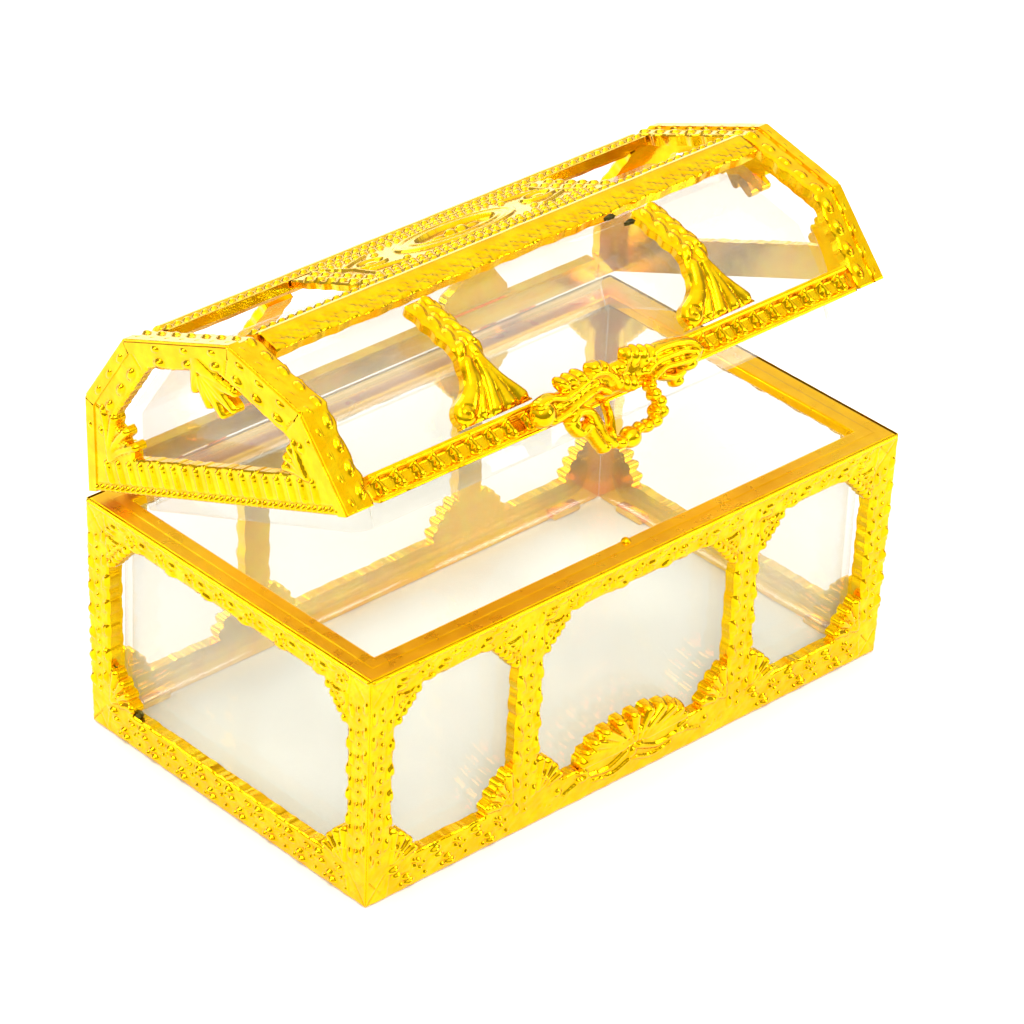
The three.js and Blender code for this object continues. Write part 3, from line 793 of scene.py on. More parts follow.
def turned(profile, where, steps=40):
    """A solid of revolution about X. The profile's points are (x, radius), from one end to the other."""
    made = bmesh.new()
    rings = []
    for x, radius in profile:
        if radius < 1e-6:
            rings.append([made.verts.new((x, 0, 0))])
            continue
        rings.append([made.verts.new((x, radius * math.cos(t), radius * math.sin(t)))
                      for t in np.linspace(0, math.tau, steps, endpoint=False)])
    for a, b in zip(rings, rings[1:]):
        for k in range(steps):
            quad = [a[k % len(a)], a[(k + 1) % len(a)], b[(k + 1) % len(b)], b[k % len(b)]]
            corners = list(dict.fromkeys(quad))
            made.faces.new(corners)
    return placed(made, where)


def tube_part(x0, x1, outer, bore, where, bevel=0.15):
    """A hinge knuckle: a short tube along X with rounded rims."""
    made = bmesh.new()
    loop = [(x0, bore), (x0, outer - bevel), (x0 + bevel, outer),
            (x1 - bevel, outer), (x1, outer - bevel), (x1, bore)]
    steps = 32
    rings = [[made.verts.new((x, r * math.cos(t), r * math.sin(t)))
              for t in np.linspace(0, math.tau, steps, endpoint=False)] for x, r in loop]
    for a, b in zip(rings, rings[1:] + rings[:1]):
        for k in range(steps):
            made.faces.new([a[k], a[(k + 1) % steps], b[(k + 1) % steps], b[k]])
    return placed(made, where)


def shifted(where, offset):
    """The same place function, for points drawn about an offset origin."""
    return lambda points: where(np.asarray(points) + np.asarray(offset))


LUG = (5.0, 0.9, 1.1)
LUG_INSET = 9.5
HINGE_SPACING = 56.0
KNUCKLE, BORE, PIN = 1.4, 0.72, 0.6
BASE_KNUCKLE, LID_KNUCKLE = 3.0, 4.0
PIVOT_Y, PIVOT_Z = PIVOT.y / MM, PIVOT.z / MM


def wall_lugs(turn, distance, length):
    """The small feet inside a wall that grip under the tray's rounded edge."""
    c, s = math.cos(turn), math.sin(turn)

    def where(points):
        p = np.asarray(points)
        return in_base(np.stack([p[:, 0] * c - p[:, 1] * s + s * distance,
                                 p[:, 0] * s + p[:, 1] * c - c * distance, p[:, 2]], -1))
    made = []
    for side in (-1, 1):
        u = side * (length / 2 - LUG_INSET)
        low = (u - LUG[0] / 2, WALL / 2 + DRAFT, 0)
        made.append(box_part(low, (u + LUG[0] / 2, WALL + LUG[1] + DRAFT, LUG[2]), where=where))
    return made


def base_knuckles():
    made = []
    for side in (-1, 1):
        middle = side * HINGE_SPACING / 2
        for half in (-1, 1):
            near, far = sorted((middle + half * (LID_KNUCKLE / 2 + 0.3),
                                middle + half * (LID_KNUCKLE / 2 + 0.3 + BASE_KNUCKLE)))
            where = shifted(in_base, (0, PIVOT_Y, PIVOT_Z))
            made.append(tube_part(near, far, KNUCKLE, BORE, where))
            made.append(box_part((near, BASE_WIDTH / 2 - 0.45, PIVOT_Z - 2.2),
                                 (far, PIVOT_Y - BORE - 0.1, BASE_HEIGHT - 0.3)))
    return made


def make_walls():
    walls = (
        ("base_front_wall", 0.0, BASE_WIDTH / 2, BASE_LENGTH, long_wall(True, 1.0)),
        ("base_rear_wall", math.pi, BASE_WIDTH / 2, BASE_LENGTH, long_wall(False, 2.0)),
        ("base_left_wall", -math.pi / 2, BASE_LENGTH / 2, BASE_WIDTH, end_wall(3.0)),
        ("base_right_wall", math.pi / 2, BASE_LENGTH / 2, BASE_WIDTH, end_wall(4.0)),
    )
    for node, turn, distance, length, relief in walls:
        relief.height += WALL_LIFT
        parts = [closed_plate(relief, on_wall(turn, distance, length), wall_depth(relief))]
        parts += wall_lugs(turn, distance, length)
        if node == "base_rear_wall":
            parts += base_knuckles()
        piece(node + "_gilt", parts, node, GILT)


# ---- Crest ----
def make_crest():
    """A fluted shell with a rosette, seated at the foot of the middle window."""
    half = CREST_HIGH[0]
    foot = CREST_LOW[2]
    tall = CREST_HIGH[2] - foot
    relief = Relief((-half, 0), (half, tall + 0.1), filled=False)
    lobes = 11
    for k in range(lobes):
        turn = math.pi * (k + 0.5) / lobes
        c, s = math.cos(turn), math.sin(turn)
        tip = (c * (half - 1.0), s * (tall - 0.75))
        lobe = ((c * half * 0.2, s * 0.6), (c * half * 0.6, s * tall * 0.55), tip)
        relief.stroke(lobe, 0.42, 0.75, tip=2.1, level=-0.1, grow=1.12)
    relief.edge = np.maximum(relief.edge, (0.8 - np.hypot(relief.U / half, relief.V / tall)) * tall)
    relief.stroke(((-half * 0.72, 0.7), (-half * 0.3, 1.5), (0, 1.8), (half * 0.3, 1.5), (half * 0.72, 0.7)),
                  0.3, 0.85, level=-0.1)
    for side in (-1, 1):
        relief.dome(side * half * 0.74, 0.9, 0.85, 0.75, 1.0, level=-0.1)
        relief.dome(side * 3.1, 1.0, 0.6, 0.5, 0.7, level=-0.1)
    for k in range(6):
        turn = math.tau * k / 6
        relief.dome(1.0 * math.cos(turn), 1.5 + 0.75 * math.sin(turn), 0.32, 0.32, 0.75)
    relief.dome(0, 1.5, 0.5, 0.5, 0.9)

    def place(u, v, h):
        z = v + foot
        inwards = DRAFT * (1 - z / BASE_HEIGHT) - h
        return in_base(np.stack([u, inwards - BASE_WIDTH / 2, z], -1))
    relief.height = np.minimum(relief.height, 0.6)
    piece("base_crest_gilt", [closed_plate(relief, place, 1.8)], "base_crest", GILT)


# ---- Rim ----
def make_rim():
    """A smooth ring with a faint step along its top, mitred at the corners, and its catch."""
    outer = RIM_WIDTH - RIM_LIP - 0.12
    top, floor = BASE_HEIGHT, BASE_HEIGHT - RIM_THICKNESS
    section = [(0.0, floor + 0.2), (0.0, top - 0.35), (0.03, top - 0.22), (0.1, top - 0.12),
               (0.2, top - 0.05), (0.34, top - 0.02), (0.46, top - 0.018), (1.8, top - 0.002),
               (1.9, top), (1.96, top - 0.01),
               (2.02, top - 0.03), (2.08, top - 0.038), (2.3, top - 0.04), (outer - 0.7, top - 0.04),
               (outer - 0.56, top - 0.035), (outer - 0.48, top - 0.025), (outer - 0.38, top - 0.02),
               (outer - 0.1, top - 0.03), (outer, top - 0.14), (outer, floor + 0.1), (outer - 0.1, floor),
               (0.2, floor)]
    open_x, open_y = BASE_LENGTH / 2 - RIM_WIDTH, BASE_WIDTH / 2 - RIM_WIDTH
    corners = [(1, 1), (-1, 1), (-1, -1), (1, -1)]
    ring = bmesh.new()
    stations = []
    for (ax, ay), (bx, by) in zip(corners, corners[1:] + corners[:1]):
        for t in np.linspace(0, 1, 14, endpoint=False):
            stations.append((ax + (bx - ax) * t, ay + (by - ay) * t))
    loops = []
    for sx, sy in stations:
        loop = []
        for out, z in section:
            x = sx * (open_x + out) if abs(sx) == 1 else sx * open_x + sx * out
            y = sy * (open_y + out) if abs(sy) == 1 else sy * open_y + sy * out
            loop.append(ring.verts.new((x, y, z)))
        loops.append(loop)
    for a, b in zip(loops, loops[1:] + loops[:1]):
        for k in range(len(section)):
            n = (k + 1) % len(section)
            ring.faces.new([a[k], a[n], b[n], b[k]])
    parts = [placed(ring, in_base)]
    parts.append(make_catch(open_y))
    piece("base_rim_gilt", parts, "base_rim", SATIN)


def make_catch(open_y):
    """A low round nub on the front rim, with a shallow dimple."""
    nub = bmesh.new()
    bmesh.ops.create_uvsphere(nub, u_segments=28, v_segments=18, radius=0.72)
    for v in nub.verts:
        dimple = math.exp(-((v.co.x - 0.35) ** 2 + (v.co.z - 0.5) ** 2) / 0.03)
        v.co *= 1 - 0.16 * dimple
    return placed(nub, shifted(in_base, (0, -open_y - 0.6, BASE_HEIGHT - 0.14)))


# ---- Clear shells ----
def make_shell(name, node, material, bevel):
    """The CAD shell with its flat facets whole and its edges rounded."""
    source = frame["nodes"][node].data
    made = bmesh.new()
    made.from_mesh(source)
    bmesh.ops.remove_doubles(made, verts=made.verts, dist=1e-6)
    bmesh.ops.dissolve_limit(made, angle_limit=math.radians(1), verts=made.verts, edges=made.edges)
    sharp = [e for e in made.edges if len(e.link_faces) == 2 and e.calc_face_angle(0) > math.radians(24)]
    bmesh.ops.bevel(made, geom=sharp, offset=bevel * MM, segments=3, affect="EDGES", profile=0.5,
                    clamp_overlap=True)
    for f in made.faces:
        f.smooth = True
    for e in made.edges:
        if len(e.link_faces) == 2 and e.calc_face_angle(0) > math.radians(32):
            e.smooth = False
    mesh = bpy.data.meshes.new(name)
    made.to_mesh(mesh)
    made.free()
    mesh.materials.clear()
    mesh.materials.append(material)
    shell = bpy.data.objects.new(name, mesh)
    bpy.context.scene.collection.objects.link(shell)
    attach(shell, BODY_OF[node])
    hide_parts(node)
    return shell


# ---- Lid ends ----
def make_end(side):
    node = "lid_left_end" if side < 0 else "lid_right_end"
    half = LID_WIDTH / 2
    relief = Relief((-half, 0), (half, LID_HEIGHT))
    lower, upper, top = arch_inside(relief.U, relief.V)
    relief.limit = np.minimum.reduce([lower, upper, top, relief.V]) - 0.05
    hole = np.minimum.reduce([lower - 5.0, upper - 5.3, top - 3.9, relief.V - 4.9])
    hole += 0.12 * ripple(relief.U, relief.V, 2.6, side) + 0.07 * ripple(relief.U, relief.V, 1.1, side)
    rear, front = 1, -1
    for direction, size in ((rear, (6.2, 7.4)), (front, (3.4, 4.6))):
        filler = Filler((direction * (half - 7.0), 4.9), (-direction, 1), size, 3, 1.1, 0.2)
        hole = np.minimum(hole, -filler.inside(relief))
    relief.cut(hole)
    end_domes(relief, half)
    for direction, reach in ((rear, 1.0), (front, 0.62)):
        end_acanthus(relief, direction * (half - 7.4), direction, reach)
    flutes(relief, half)
    hanging_leaf(relief)
    for direction in (-1, 1):
        for a, b in ((FOOT_POINT, KNEE_POINT), (KNEE_POINT, SHOULDER_POINT)):
            knee = b if b is KNEE_POINT else a
            inner = knee + np.array([-3.9, -2.4])
            relief.groove(((direction * knee[0], knee[1]), (direction * inner[0], inner[1])), 0.13, 0.14)
        relief.groove(((direction * SHOULDER_POINT[0], LID_HEIGHT), (direction * (SHOULDER_POINT[0] - 2.2),
                                                                 LID_HEIGHT - 4)), 0.13, 0.14)
    relief.uneven(5.0, 0.03, side)
    relief.uneven(1.3, 0.012, side)
    relief.height += WALL_LIFT

    def place(u, v, h):
        return in_lid(np.stack([np.full_like(u, side * (LID_LENGTH / 2)) + side * h, u, v], -1))
    parts = [closed_plate(relief, place, END_PLATE)]
    parts.append(end_strap(side))
    piece(node + "_gilt", parts, node, GILT)


def end_domes(relief, half):
    """Pairs of beads round the ring: one near the outside and one near the window."""
    for u in (-7.4, -1.6, 4.4):
        relief.dome(u, LID_HEIGHT - 1.2, 1.1, 0.62, 0.5, plump=0.9)
        relief.dome(u + 0.1, LID_HEIGHT - 3.05, 1.1, 0.6, 0.5, plump=0.9)
    rise = KNEE_POINT - SHOULDER_POINT
    length = np.linalg.norm(rise)
    along = rise / length
    inwards = np.array([along[1], -along[0]])
    slope = math.atan2(along[1], along[0])
    for direction in (-1, 1):
        for t in (0.2, 0.47, 0.76):
            middle = SHOULDER_POINT + along * length * t
            for inset in (1.35, 3.9):
                u, v = middle + inwards * inset
                relief.dome(direction * u, v, 1.15, 0.62, 0.5, turn=direction * slope, plump=0.9)
        drop = FOOT_POINT - KNEE_POINT
        for t in (0.3, 0.36):
            u, v = KNEE_POINT + drop * t
            relief.dome(direction * (u - (1.3 if t < 0.33 else 3.6)), v, 0.5, 0.62, 0.4)


def end_acanthus(relief, u, direction, reach):
    """Curling leaf strokes in a lower corner of an end's window."""
    for k, (du, dv) in enumerate(((0.6, 6.6), (2.4, 5.4), (4.2, 3.6), (5.4, 1.6))):
        tip = (u - direction * du * reach, 4.9 + dv * reach)
        bend = (u - direction * du * reach * 0.35, 4.9 + dv * reach * 0.55)
        relief.stroke(((u + direction * 0.6, 4.6), bend, tip), 0.42, 0.4, tip=1.3, grow=1.2)
        relief.dome(*tip, 0.55, 0.55, 0.42, grow=1.2)


def flutes(relief, half):
    """Upright flutes with bead tops along an end's foot, over a fine row of beads."""
    count = 19
    for k in range(count):
        u = (k + 0.5 - count / 2) * (2 * half - 9.5) / count
        relief.stroke(((u, 1.7), (u, 3.5)), 0.62, 0.4, plump=0.7)
        relief.dome(u, 4.0, 0.55, 0.45, 0.42)
    fine = 46
    for k in range(fine):
        u = (k + 0.5 - fine / 2) * (2 * half - 3.5) / fine
        relief.dome(u, 0.55, 0.42, 0.38, 0.4)
    relief.groove(((-half + 3, 1.15), (half - 3, 1.15)), 0.16, 0.15)


def hanging_leaf(relief):
    """A five-lobed leaf with a middle vein, hanging into the window from the top."""
    u, v = -3.2, LID_HEIGHT - 3.8
    tips = ((1.5, -2.4), (-0.6, -4.4), (-3.0, -5.6), (-5.4, -4.8), (-6.6, -2.6))
    for du, dv in tips:
        lobe = ((u - 0.3, v + 0.5), (u + du * 0.55, v + dv * 0.5), (u + du, v + dv))
        relief.stroke(lobe, 1.5, 0.3, tip=0.4, grow=1.0, plump=0.8)
    for du, dv in tips:
        vein = ((u - 0.3, v - 0.2), (u + du * 0.5, v + dv * 0.45), (u + du * 0.8, v + dv * 0.8))
        relief.groove(vein, 0.15, 0.1)


def arch_profile():
    """The whole outer section of the lid, from the front foot over the top to the rear foot."""
    rear = [FOOT_POINT, KNEE_POINT, SHOULDER_POINT]
    points = [(p[0], p[1]) for p in rear] + [(-p[0], p[1]) for p in reversed(rear)]
    return rounded_profile(points[::-1], 0.35)


def outwards(profile):
    """The profile with its normals pointing away from the lid's inside."""
    distance, path, normal = profile
    centre = np.array([0.0, 4.0])
    flip = np.where(((path - centre) * normal).sum(1) < 0, -1, 1)[:, None]
    return distance, path, normal * flip


def end_strap(side):
    """The band of an end that wraps over the arch, with two rows of ovals and wavy inner edge."""
    profile = outwards(arch_profile())
    total = profile[0][-1]
    relief = Relief((0, 0), (END_BAND, total))
    wavy = 0.3 * ripple(relief.U * 0, relief.V, 3.3, side)
    relief.edge = np.minimum(relief.edge, END_BAND - 0.35 - relief.U + wavy)
    count = round(total / 3.1)
    for k in range(count):
        v = (k + 0.5) * total / count
        relief.dome(1.35, v, 0.5, 1.0, 0.4, turn=0.15)
        relief.dome(3.5, v + 0.9, 0.5, 0.95, 0.4, turn=-0.15)
    relief.uneven(4.0, 0.03, side)
    outer = LID_LENGTH / 2 - 0.02

    def place(u, v, h):
        return on_profile(profile, 1)(side * (outer - u), v, h + 0.02)
    return closed_plate(relief, place, SHEET, 0)


# ---- Lid rails, ribs, ridges and top ----
def facet_profile():
    """The rear side's two facets, from the foot up to the shoulder."""
    return outwards(rounded_profile([tuple(FOOT_POINT), tuple(KNEE_POINT), tuple(SHOULDER_POINT)], 0.5))


def make_rail(side):
    """A rail with raised edges and a row of pegs in the channel between them."""
    node = "lid_front_rail" if side < 0 else "lid_rear_rail"
    tall = LID_RAIL / math.cos(math.atan2(KNEE[0], KNEE[1]))
    relief = Relief((-BETWEEN_ENDS, 0), (BETWEEN_ENDS, tall - 0.05))
    channel = np.clip(np.minimum(relief.V - 0.55, tall - 0.65 - relief.V) / 0.45, 0, 1)
    relief.height = -0.05 - 1.15 * channel + 0.04 * ripple(relief.U, relief.V, 6.0)
    count = 27
    step = 2 * BETWEEN_ENDS / count
    for k in range(count):
        u = -BETWEEN_ENDS + (k + 0.5) * step
        relief.stroke(((u - 0.35, tall - 1.0), (u + 0.2, 1.3)), 0.4, 1.0, tip=1.5, level=-1.15)
        relief.dome(u + 0.2, 1.25, 0.62, 0.7, 1.1, level=-1.15)
    relief.uneven(2.2, 0.02, side)
    parts = [closed_plate(relief, on_profile(facet_profile(), side), 1.9, 0)]
    if side > 0:
        parts += lid_knuckles()
    piece(node + "_gilt", parts, node, GILT)


def lid_knuckles():
    made = []
    height = PIVOT_Z - LID_FLOOR
    for side in (-1, 1):
        middle = side * HINGE_SPACING / 2
        where = shifted(in_lid, (0, PIVOT_Y, height))
        made.append(tube_part(middle - LID_KNUCKLE / 2, middle + LID_KNUCKLE / 2, KNUCKLE, BORE, where))
        made.append(box_part((middle - LID_KNUCKLE / 2, LID_WIDTH / 2 - 0.9, 0.02),
                             (middle + LID_KNUCKLE / 2, PIVOT_Y - BORE - 0.1, KNUCKLE), where=in_lid))
    return made


def rib_half(v):
    """Half width of a rib at a distance above its foot: it spreads over the rail."""
    spread_out = np.clip(1 - v / (1.35 * FOOT_HEIGHT), 0, 1)
    return RIB_HALF - 0.1 + (FOOT_HALF - RIB_HALF) * spread_out ** 1.9


def rib_foot(relief):
    """A rib's foot: a smooth scooped volute on its left, and a sweeping three-part leaf on its right."""
    neck = FOOT_HEIGHT + 2.2
    curl = FOOT_HALF - 1.75
    relief.stroke(((-1.0, neck), (-1.7, 4.6), (-3.0, 2.9), (-curl, 1.9)), 0.85, 0.6, tip=1.7, grow=1.1)
    relief.dome(-curl, 1.65, 1.6, 1.5, 0.62, grow=1.08, plump=0.6)
    relief.groove(((-curl + 0.9, 2.0), (-curl, 2.6), (-curl - 0.7, 1.8), (-curl, 1.2)), 0.22, 0.24)
    for k, (u, v) in enumerate(((0.2, 0.9), (2.4, 0.9), (4.6, 1.0))):
        part = ((0.5 + 0.3 * k, neck), (0.7 + 0.9 * k, 4.4), (u * 0.75 + 0.3, 2.4), (u, v))
        relief.stroke(part, 0.45, 0.55, tip=2.1, grow=1.1)
    relief.stroke(((-0.6, neck - 0.6), (-0.9, 3.6), (-1.9, 1.0)), 0.36, 0.5, tip=1.8)


def make_rib(node, x, side):
    profile = facet_profile()
    distance, path = profile[:2]
    start = np.interp(RIB_LOW[2], path[:, 1], distance)
    end = np.interp(RIB_HIGH[2], path[:, 1], distance)
    relief = Relief((-FOOT_HALF, 0), (FOOT_HALF, end - start))
    wave = 0.14 * np.sin(relief.V * math.tau / 2.9 + np.sign(relief.U)) * (relief.V > FOOT_HEIGHT)
    relief.edge = rib_half(relief.V) + wave - np.abs(relief.U)
    pitch = 2.7
    for v in np.arange(FOOT_HEIGHT + 1.6, end - start - 0.8, pitch):
        relief.dome(-0.95, v, 0.62, 1.5, 0.5, turn=-0.32, plump=0.9)
        relief.dome(1.0, v + pitch / 2, 0.62, 1.5, 0.5, turn=0.3, plump=0.9)
        relief.dome(0.05, v + 0.9, 0.32, 0.8, 0.4, plump=0.9)
    rib_foot(relief)
    relief.uneven(2.4, 0.03, x)
    along_profile = on_profile(profile, side)

    def place(u, v, h):
        return along_profile(u + x, v + start, h)
    piece(node + "_gilt", [closed_plate(relief, place, 1.85, 0)], node, GILT)


def make_ridge(side):
    """A rail over the shoulder: a bead row on the flat top, then a rough skirt down the slope."""
    node = "lid_front_ridge" if side < 0 else "lid_rear_ridge"
    slope = math.atan2(LID_HEIGHT - KNEE[1], SHOULDER_INSET - KNEE[0])
    down = RIDGE_DROP / math.sin(slope)
    lip = SHOULDER_POINT + (KNEE_POINT - SHOULDER_POINT) / np.linalg.norm(KNEE_POINT - SHOULDER_POINT) * down
    points = [(SHOULDER_POINT[0] - RIDGE_WIDTH, LID_HEIGHT), tuple(SHOULDER_POINT), tuple(lip)]
    profile = outwards(rounded_profile(points, 0.3))
    total = profile[0][-1]
    relief = Relief((-BETWEEN_ENDS, 0), (BETWEEN_ENDS, total))
    rough = np.clip((relief.V - RIDGE_WIDTH - 0.9) / 0.8, 0, 1)
    trim = 0.75
    wavy = 0.2 * ripple(relief.U, 0 * relief.V, 3.7, side)
    relief.edge = np.minimum(relief.edge, total - trim - relief.V + wavy)
    relief.height = relief.height + 0.3 * np.clip((relief.V - RIDGE_WIDTH + 1.3) * 2, 0, 1)
    grain = 0.12 * ripple(relief.U, relief.V, 1.5, 1) + 0.1 * ripple(relief.U, relief.V, 0.8, 2)
    relief.height += rough * (grain - 0.1)
    count = round(2 * BETWEEN_ENDS / 1.5)
    for k in range(count):
        u = -BETWEEN_ENDS + (k + 0.5) * 2 * BETWEEN_ENDS / count
        relief.dome(u, 0.95, 0.55, 0.55, 0.45)
    relief.uneven(6.0, 0.03, side)
    piece(node + "_gilt", [closed_plate(relief, on_profile(profile, side), 1.7, 0)], node, GILT)


def make_top():
    """The solid middle of the top: beaded borders, an oval medallion and a cross-band at each end."""
    half_u, half_v = PANEL_HIGH[0], PANEL_HIGH[1]
    relief = Relief((-half_u, -half_v), (half_u, half_v))
    wavy = 0.3 * ripple(relief.V, relief.U, 3.0, 1)
    relief.edge = np.minimum(relief.edge, half_u - 0.4 - np.abs(relief.U) + wavy)
    band = half_u - 3.6
    for side in (-1, 1):
        for row, offset in ((half_v - 0.75, 0.0), (half_v - 1.95, 0.7)):
            for u in np.arange(-band + offset, band, 1.42):
                relief.dome(u, side * row, 0.52, 0.5, 0.42)
        for v in np.arange(-half_v + 1.2, half_v - 0.6, 2.3):
            relief.dome(side * (half_u - 1.35), v, 0.6, 0.85, 0.42)
            relief.dome(side * (half_u - 3.1), v + 1.1, 0.55, 0.8, 0.42)
        bow = ((side * (band - 0.9), -half_v + 2.6), (side * (band - 1.5), 0),
               (side * (band - 0.9), half_v - 2.6))
        relief.stroke(bow, 0.3, 0.34)
        relief.ring(side * (band - 4.1), 0, 2.3, 1.7, 0.32, 0.4)
        relief.dome(side * (band - 4.1), 0, 1.1, 0.8, 0.36)
        for turn in (-1, 1):
            relief.stroke(((side * (band - 2.0), turn * 2.6), (side * (band - 4.2), turn * 3.6),
                           (side * (band - 7.0), turn * 4.6)), 0.36, 0.38, tip=0.6)
            relief.dome(side * (band - 7.6), turn * 3.4, 0.6, 0.5, 0.4)
    for half, rise in (((9.2, 4.9), 0.34), ((8.1, 4.1), 0.26), ((6.9, 3.3), 0.38)):
        relief.ring(0, 0, *half, 0.34, rise)
    in_medallion = np.hypot(relief.U / 6.6, relief.V / 3.0) < 1
    relief.height = np.where(in_medallion, relief.height - 0.25, relief.height)
    for u in (-0.95, 0.95):
        relief.dome(u, 0, 0.95, 0.85, 0.7, level=FACE - 0.25)
        relief.dome(u * 3.1, 0, 1.2, 0.45, 0.4, level=FACE - 0.25)
    relief.uneven(5.0, 0.03, 2)

    def place(u, v, h):
        return in_lid(np.stack([u, v, LID_HEIGHT + h], -1))
    piece("lid_top_panel_gilt", [closed_plate(relief, place, 1.45)], "lid_top_panel", GILT)


# ---- Lock ornament ----
def lock_left(ribbon, ball):
    """The scroll's left arm: a round bulb, an S-shaped ribbon and a three-lobed knuckle over it."""
    ball(-15.5, 2.5, 1.75, 1.7, 1.25)
    ribbon(((-16.2, 3.9), (-14.2, 4.2), (-12.2, 3.6), (-10.2, 3.9), (-8.2, 4.4), (-6.2, 4.8), (-4.3, 4.2),
            (-3.3, 2.9)), 0.62)
    ribbon(((-14.6, 1.3), (-12.8, 1.5), (-10.6, 2.1), (-8.4, 2.6), (-6.4, 2.9), (-4.9, 1.9)), 0.6)
    ribbon(((-13.2, 2.7), (-10.8, 3.0), (-8.6, 3.5), (-6.4, 3.7)), 0.4, 0.95)
    for k in range(3):
        ball(-11.6 + 1.45 * k, 5.15 + 0.05 * k, 0.78, 1.3, 1.2, turn=0.75)
    ball(-6.2, 5.6, 1.15, 1.0, 1.25)
    ball(-4.7, 5.2, 0.8, 0.8, 1.1)


def lock_right(ribbon, ball):
    """Its right arm: knuckles over the middle, and a folded ribbon cap."""
    for k in range(4):
        ball(-0.7 + 1.3 * k, 5.35 - 0.42 * k, 0.72, 1.35, 1.25, turn=-0.3)
    for k in range(3):
        ball(-2.9 + 1.15 * k, 2.5 - 0.5 * k, 0.75, 1.15, 1.15, turn=-0.35)
    ball(-1.9, 4.2, 0.9, 0.8, 1.15)
    ribbon(((1.8, 3.7), (4.0, 4.5), (6.0, 4.5), (8.2, 4.2), (10.2, 3.5), (11.0, 2.3)), 0.62, 1.2)
    ribbon(((1.9, 2.4), (4.0, 3.1), (6.4, 3.1), (8.6, 2.9), (10.2, 2.2)), 0.62, 1.1)
    ribbon(((2.8, 1.3), (4.8, 1.9), (7.0, 1.7), (9.4, 1.5), (10.4, 1.9)), 0.55, 1.15)
    ball(9.4, 0.9, 1.2, 0.85, 1.1, turn=0.2)


def lock_loop(ribbon, ball):
    """The loop under it: a folded curl at its lower left, knobs down its right and along its foot."""
    for u, v, half in ((2.2, 0.4, 0.85), (2.6, -0.9, 0.95), (3.2, -2.1, 0.95),
                       (3.1, -3.4, 1.0), (1.8, -4.2, 1.0),
                       (0.3, -4.4, 0.95), (2.0, -2.9, 0.75), (-1.0, -4.2, 0.8)):
        ball(u, v, half, half * 0.85, 1.15, turn=0.5)
    ball(-2.7, -4.9, 1.5, 1.35, 1.3)
    ball(-4.4, -5.0, 0.9, 0.85, 1.1)
    ribbon(((-11.6, 0.3), (-10.2, 1.0), (-8.6, 0.5), (-7.7, -1.2), (-7.2, -2.9), (-5.9, -4.6)), 0.75, 1.15)
    ribbon(((-11.4, -0.6), (-10.6, -1.6), (-9.2, -1.2), (-8.6, -2.6), (-7.9, -4.1)), 0.7, 1.2)
    ball(-11.3, -0.2, 0.95, 0.95, 1.2)
    ball(-7.3, -4.6, 0.95, 0.8, 1.15, turn=0.5)
    ribbon(((4.4, 0.9), (6.2, 0.2), (7.6, 0.4)), 0.6, 1.1)
    ball(6.6, -0.5, 1.0, 0.8, 1.15)


def make_lock():
    """A scroll of ribbons, knuckles and balls with a loop hanging under it."""
    face = LOCK_LOW[1]
    thick = 1.9
    floor = -1.3
    relief = Relief((LOCK_LOW[0], LOCK_LOW[2]), (LOCK_HIGH[0], LOCK_HIGH[2]), filled=False)
    relief.height[:] = floor

    def ribbon(points, half, rise=1.15, tip=1.0):
        relief.stroke(points, half, rise, tip=tip, level=floor, grow=1.06)

    def ball(u, v, half_u, half_v, rise=1.2, turn=0.0):
        relief.dome(u, v, half_u, half_v, rise, turn=turn, level=floor, grow=1.06)
    body = ((-15, 2.5), (-11.5, 2.6), (-8, 3.4), (-4, 3.6), (0, 3.5), (4, 3.0), (8, 2.8), (10.5, 2.2))
    relief.stroke(body, 1.5, 0.4, level=floor, grow=1.0, plump=0.3)
    lock_left(ribbon, ball)
    lock_right(ribbon, ball)
    lock_loop(ribbon, ball)
    opening = relief.box(-5.2, 1.15, -2.95, 0.75) + 0.15 * ripple(relief.U, relief.V, 2.6)
    relief.cut(opening)
    ribbon(((-5.7, 0.9), (-5.4, -1.4), (-5.75, -3.9)), 0.34, 1.0)
    relief.height = np.minimum(relief.height, -0.02)
    relief.uneven(2.2, 0.03)

    def place(u, v, h):
        return in_lid(np.stack([u, face - h, v], -1))
    parts = [closed_plate(relief, place, thick)]
    middle = (LOCK_LOW[0] + LOCK_HIGH[0]) / 2
    pad_half, pad_foot = 9.3, 1.1
    parts.append(box_part((middle - pad_half, face + thick - 0.2, pad_foot),
                          (middle + pad_half, -LID_WIDTH / 2 - 0.28, LID_RAIL), where=in_lid))
    piece("lid_lock_gilt", parts, "lid_lock", GILT)


def stub(points, half, where):
    """A short rough nub where a moulding gate was broken off: its plating is gone."""
    made = bmesh.new()
    bmesh.ops.create_icosphere(made, subdivisions=3, radius=1.0)
    points = np.asarray(points, float)
    for v in made.verts:
        rough = 1 + 0.16 * math.sin(5 * v.co.x + 3 * v.co.y) + 0.12 * math.sin(7 * v.co.z + 2 * v.co.x)
        v.co = Vector([float(c) * h * rough for c, h in zip(v.co, half)])
    return placed(made, shifted(where, points))


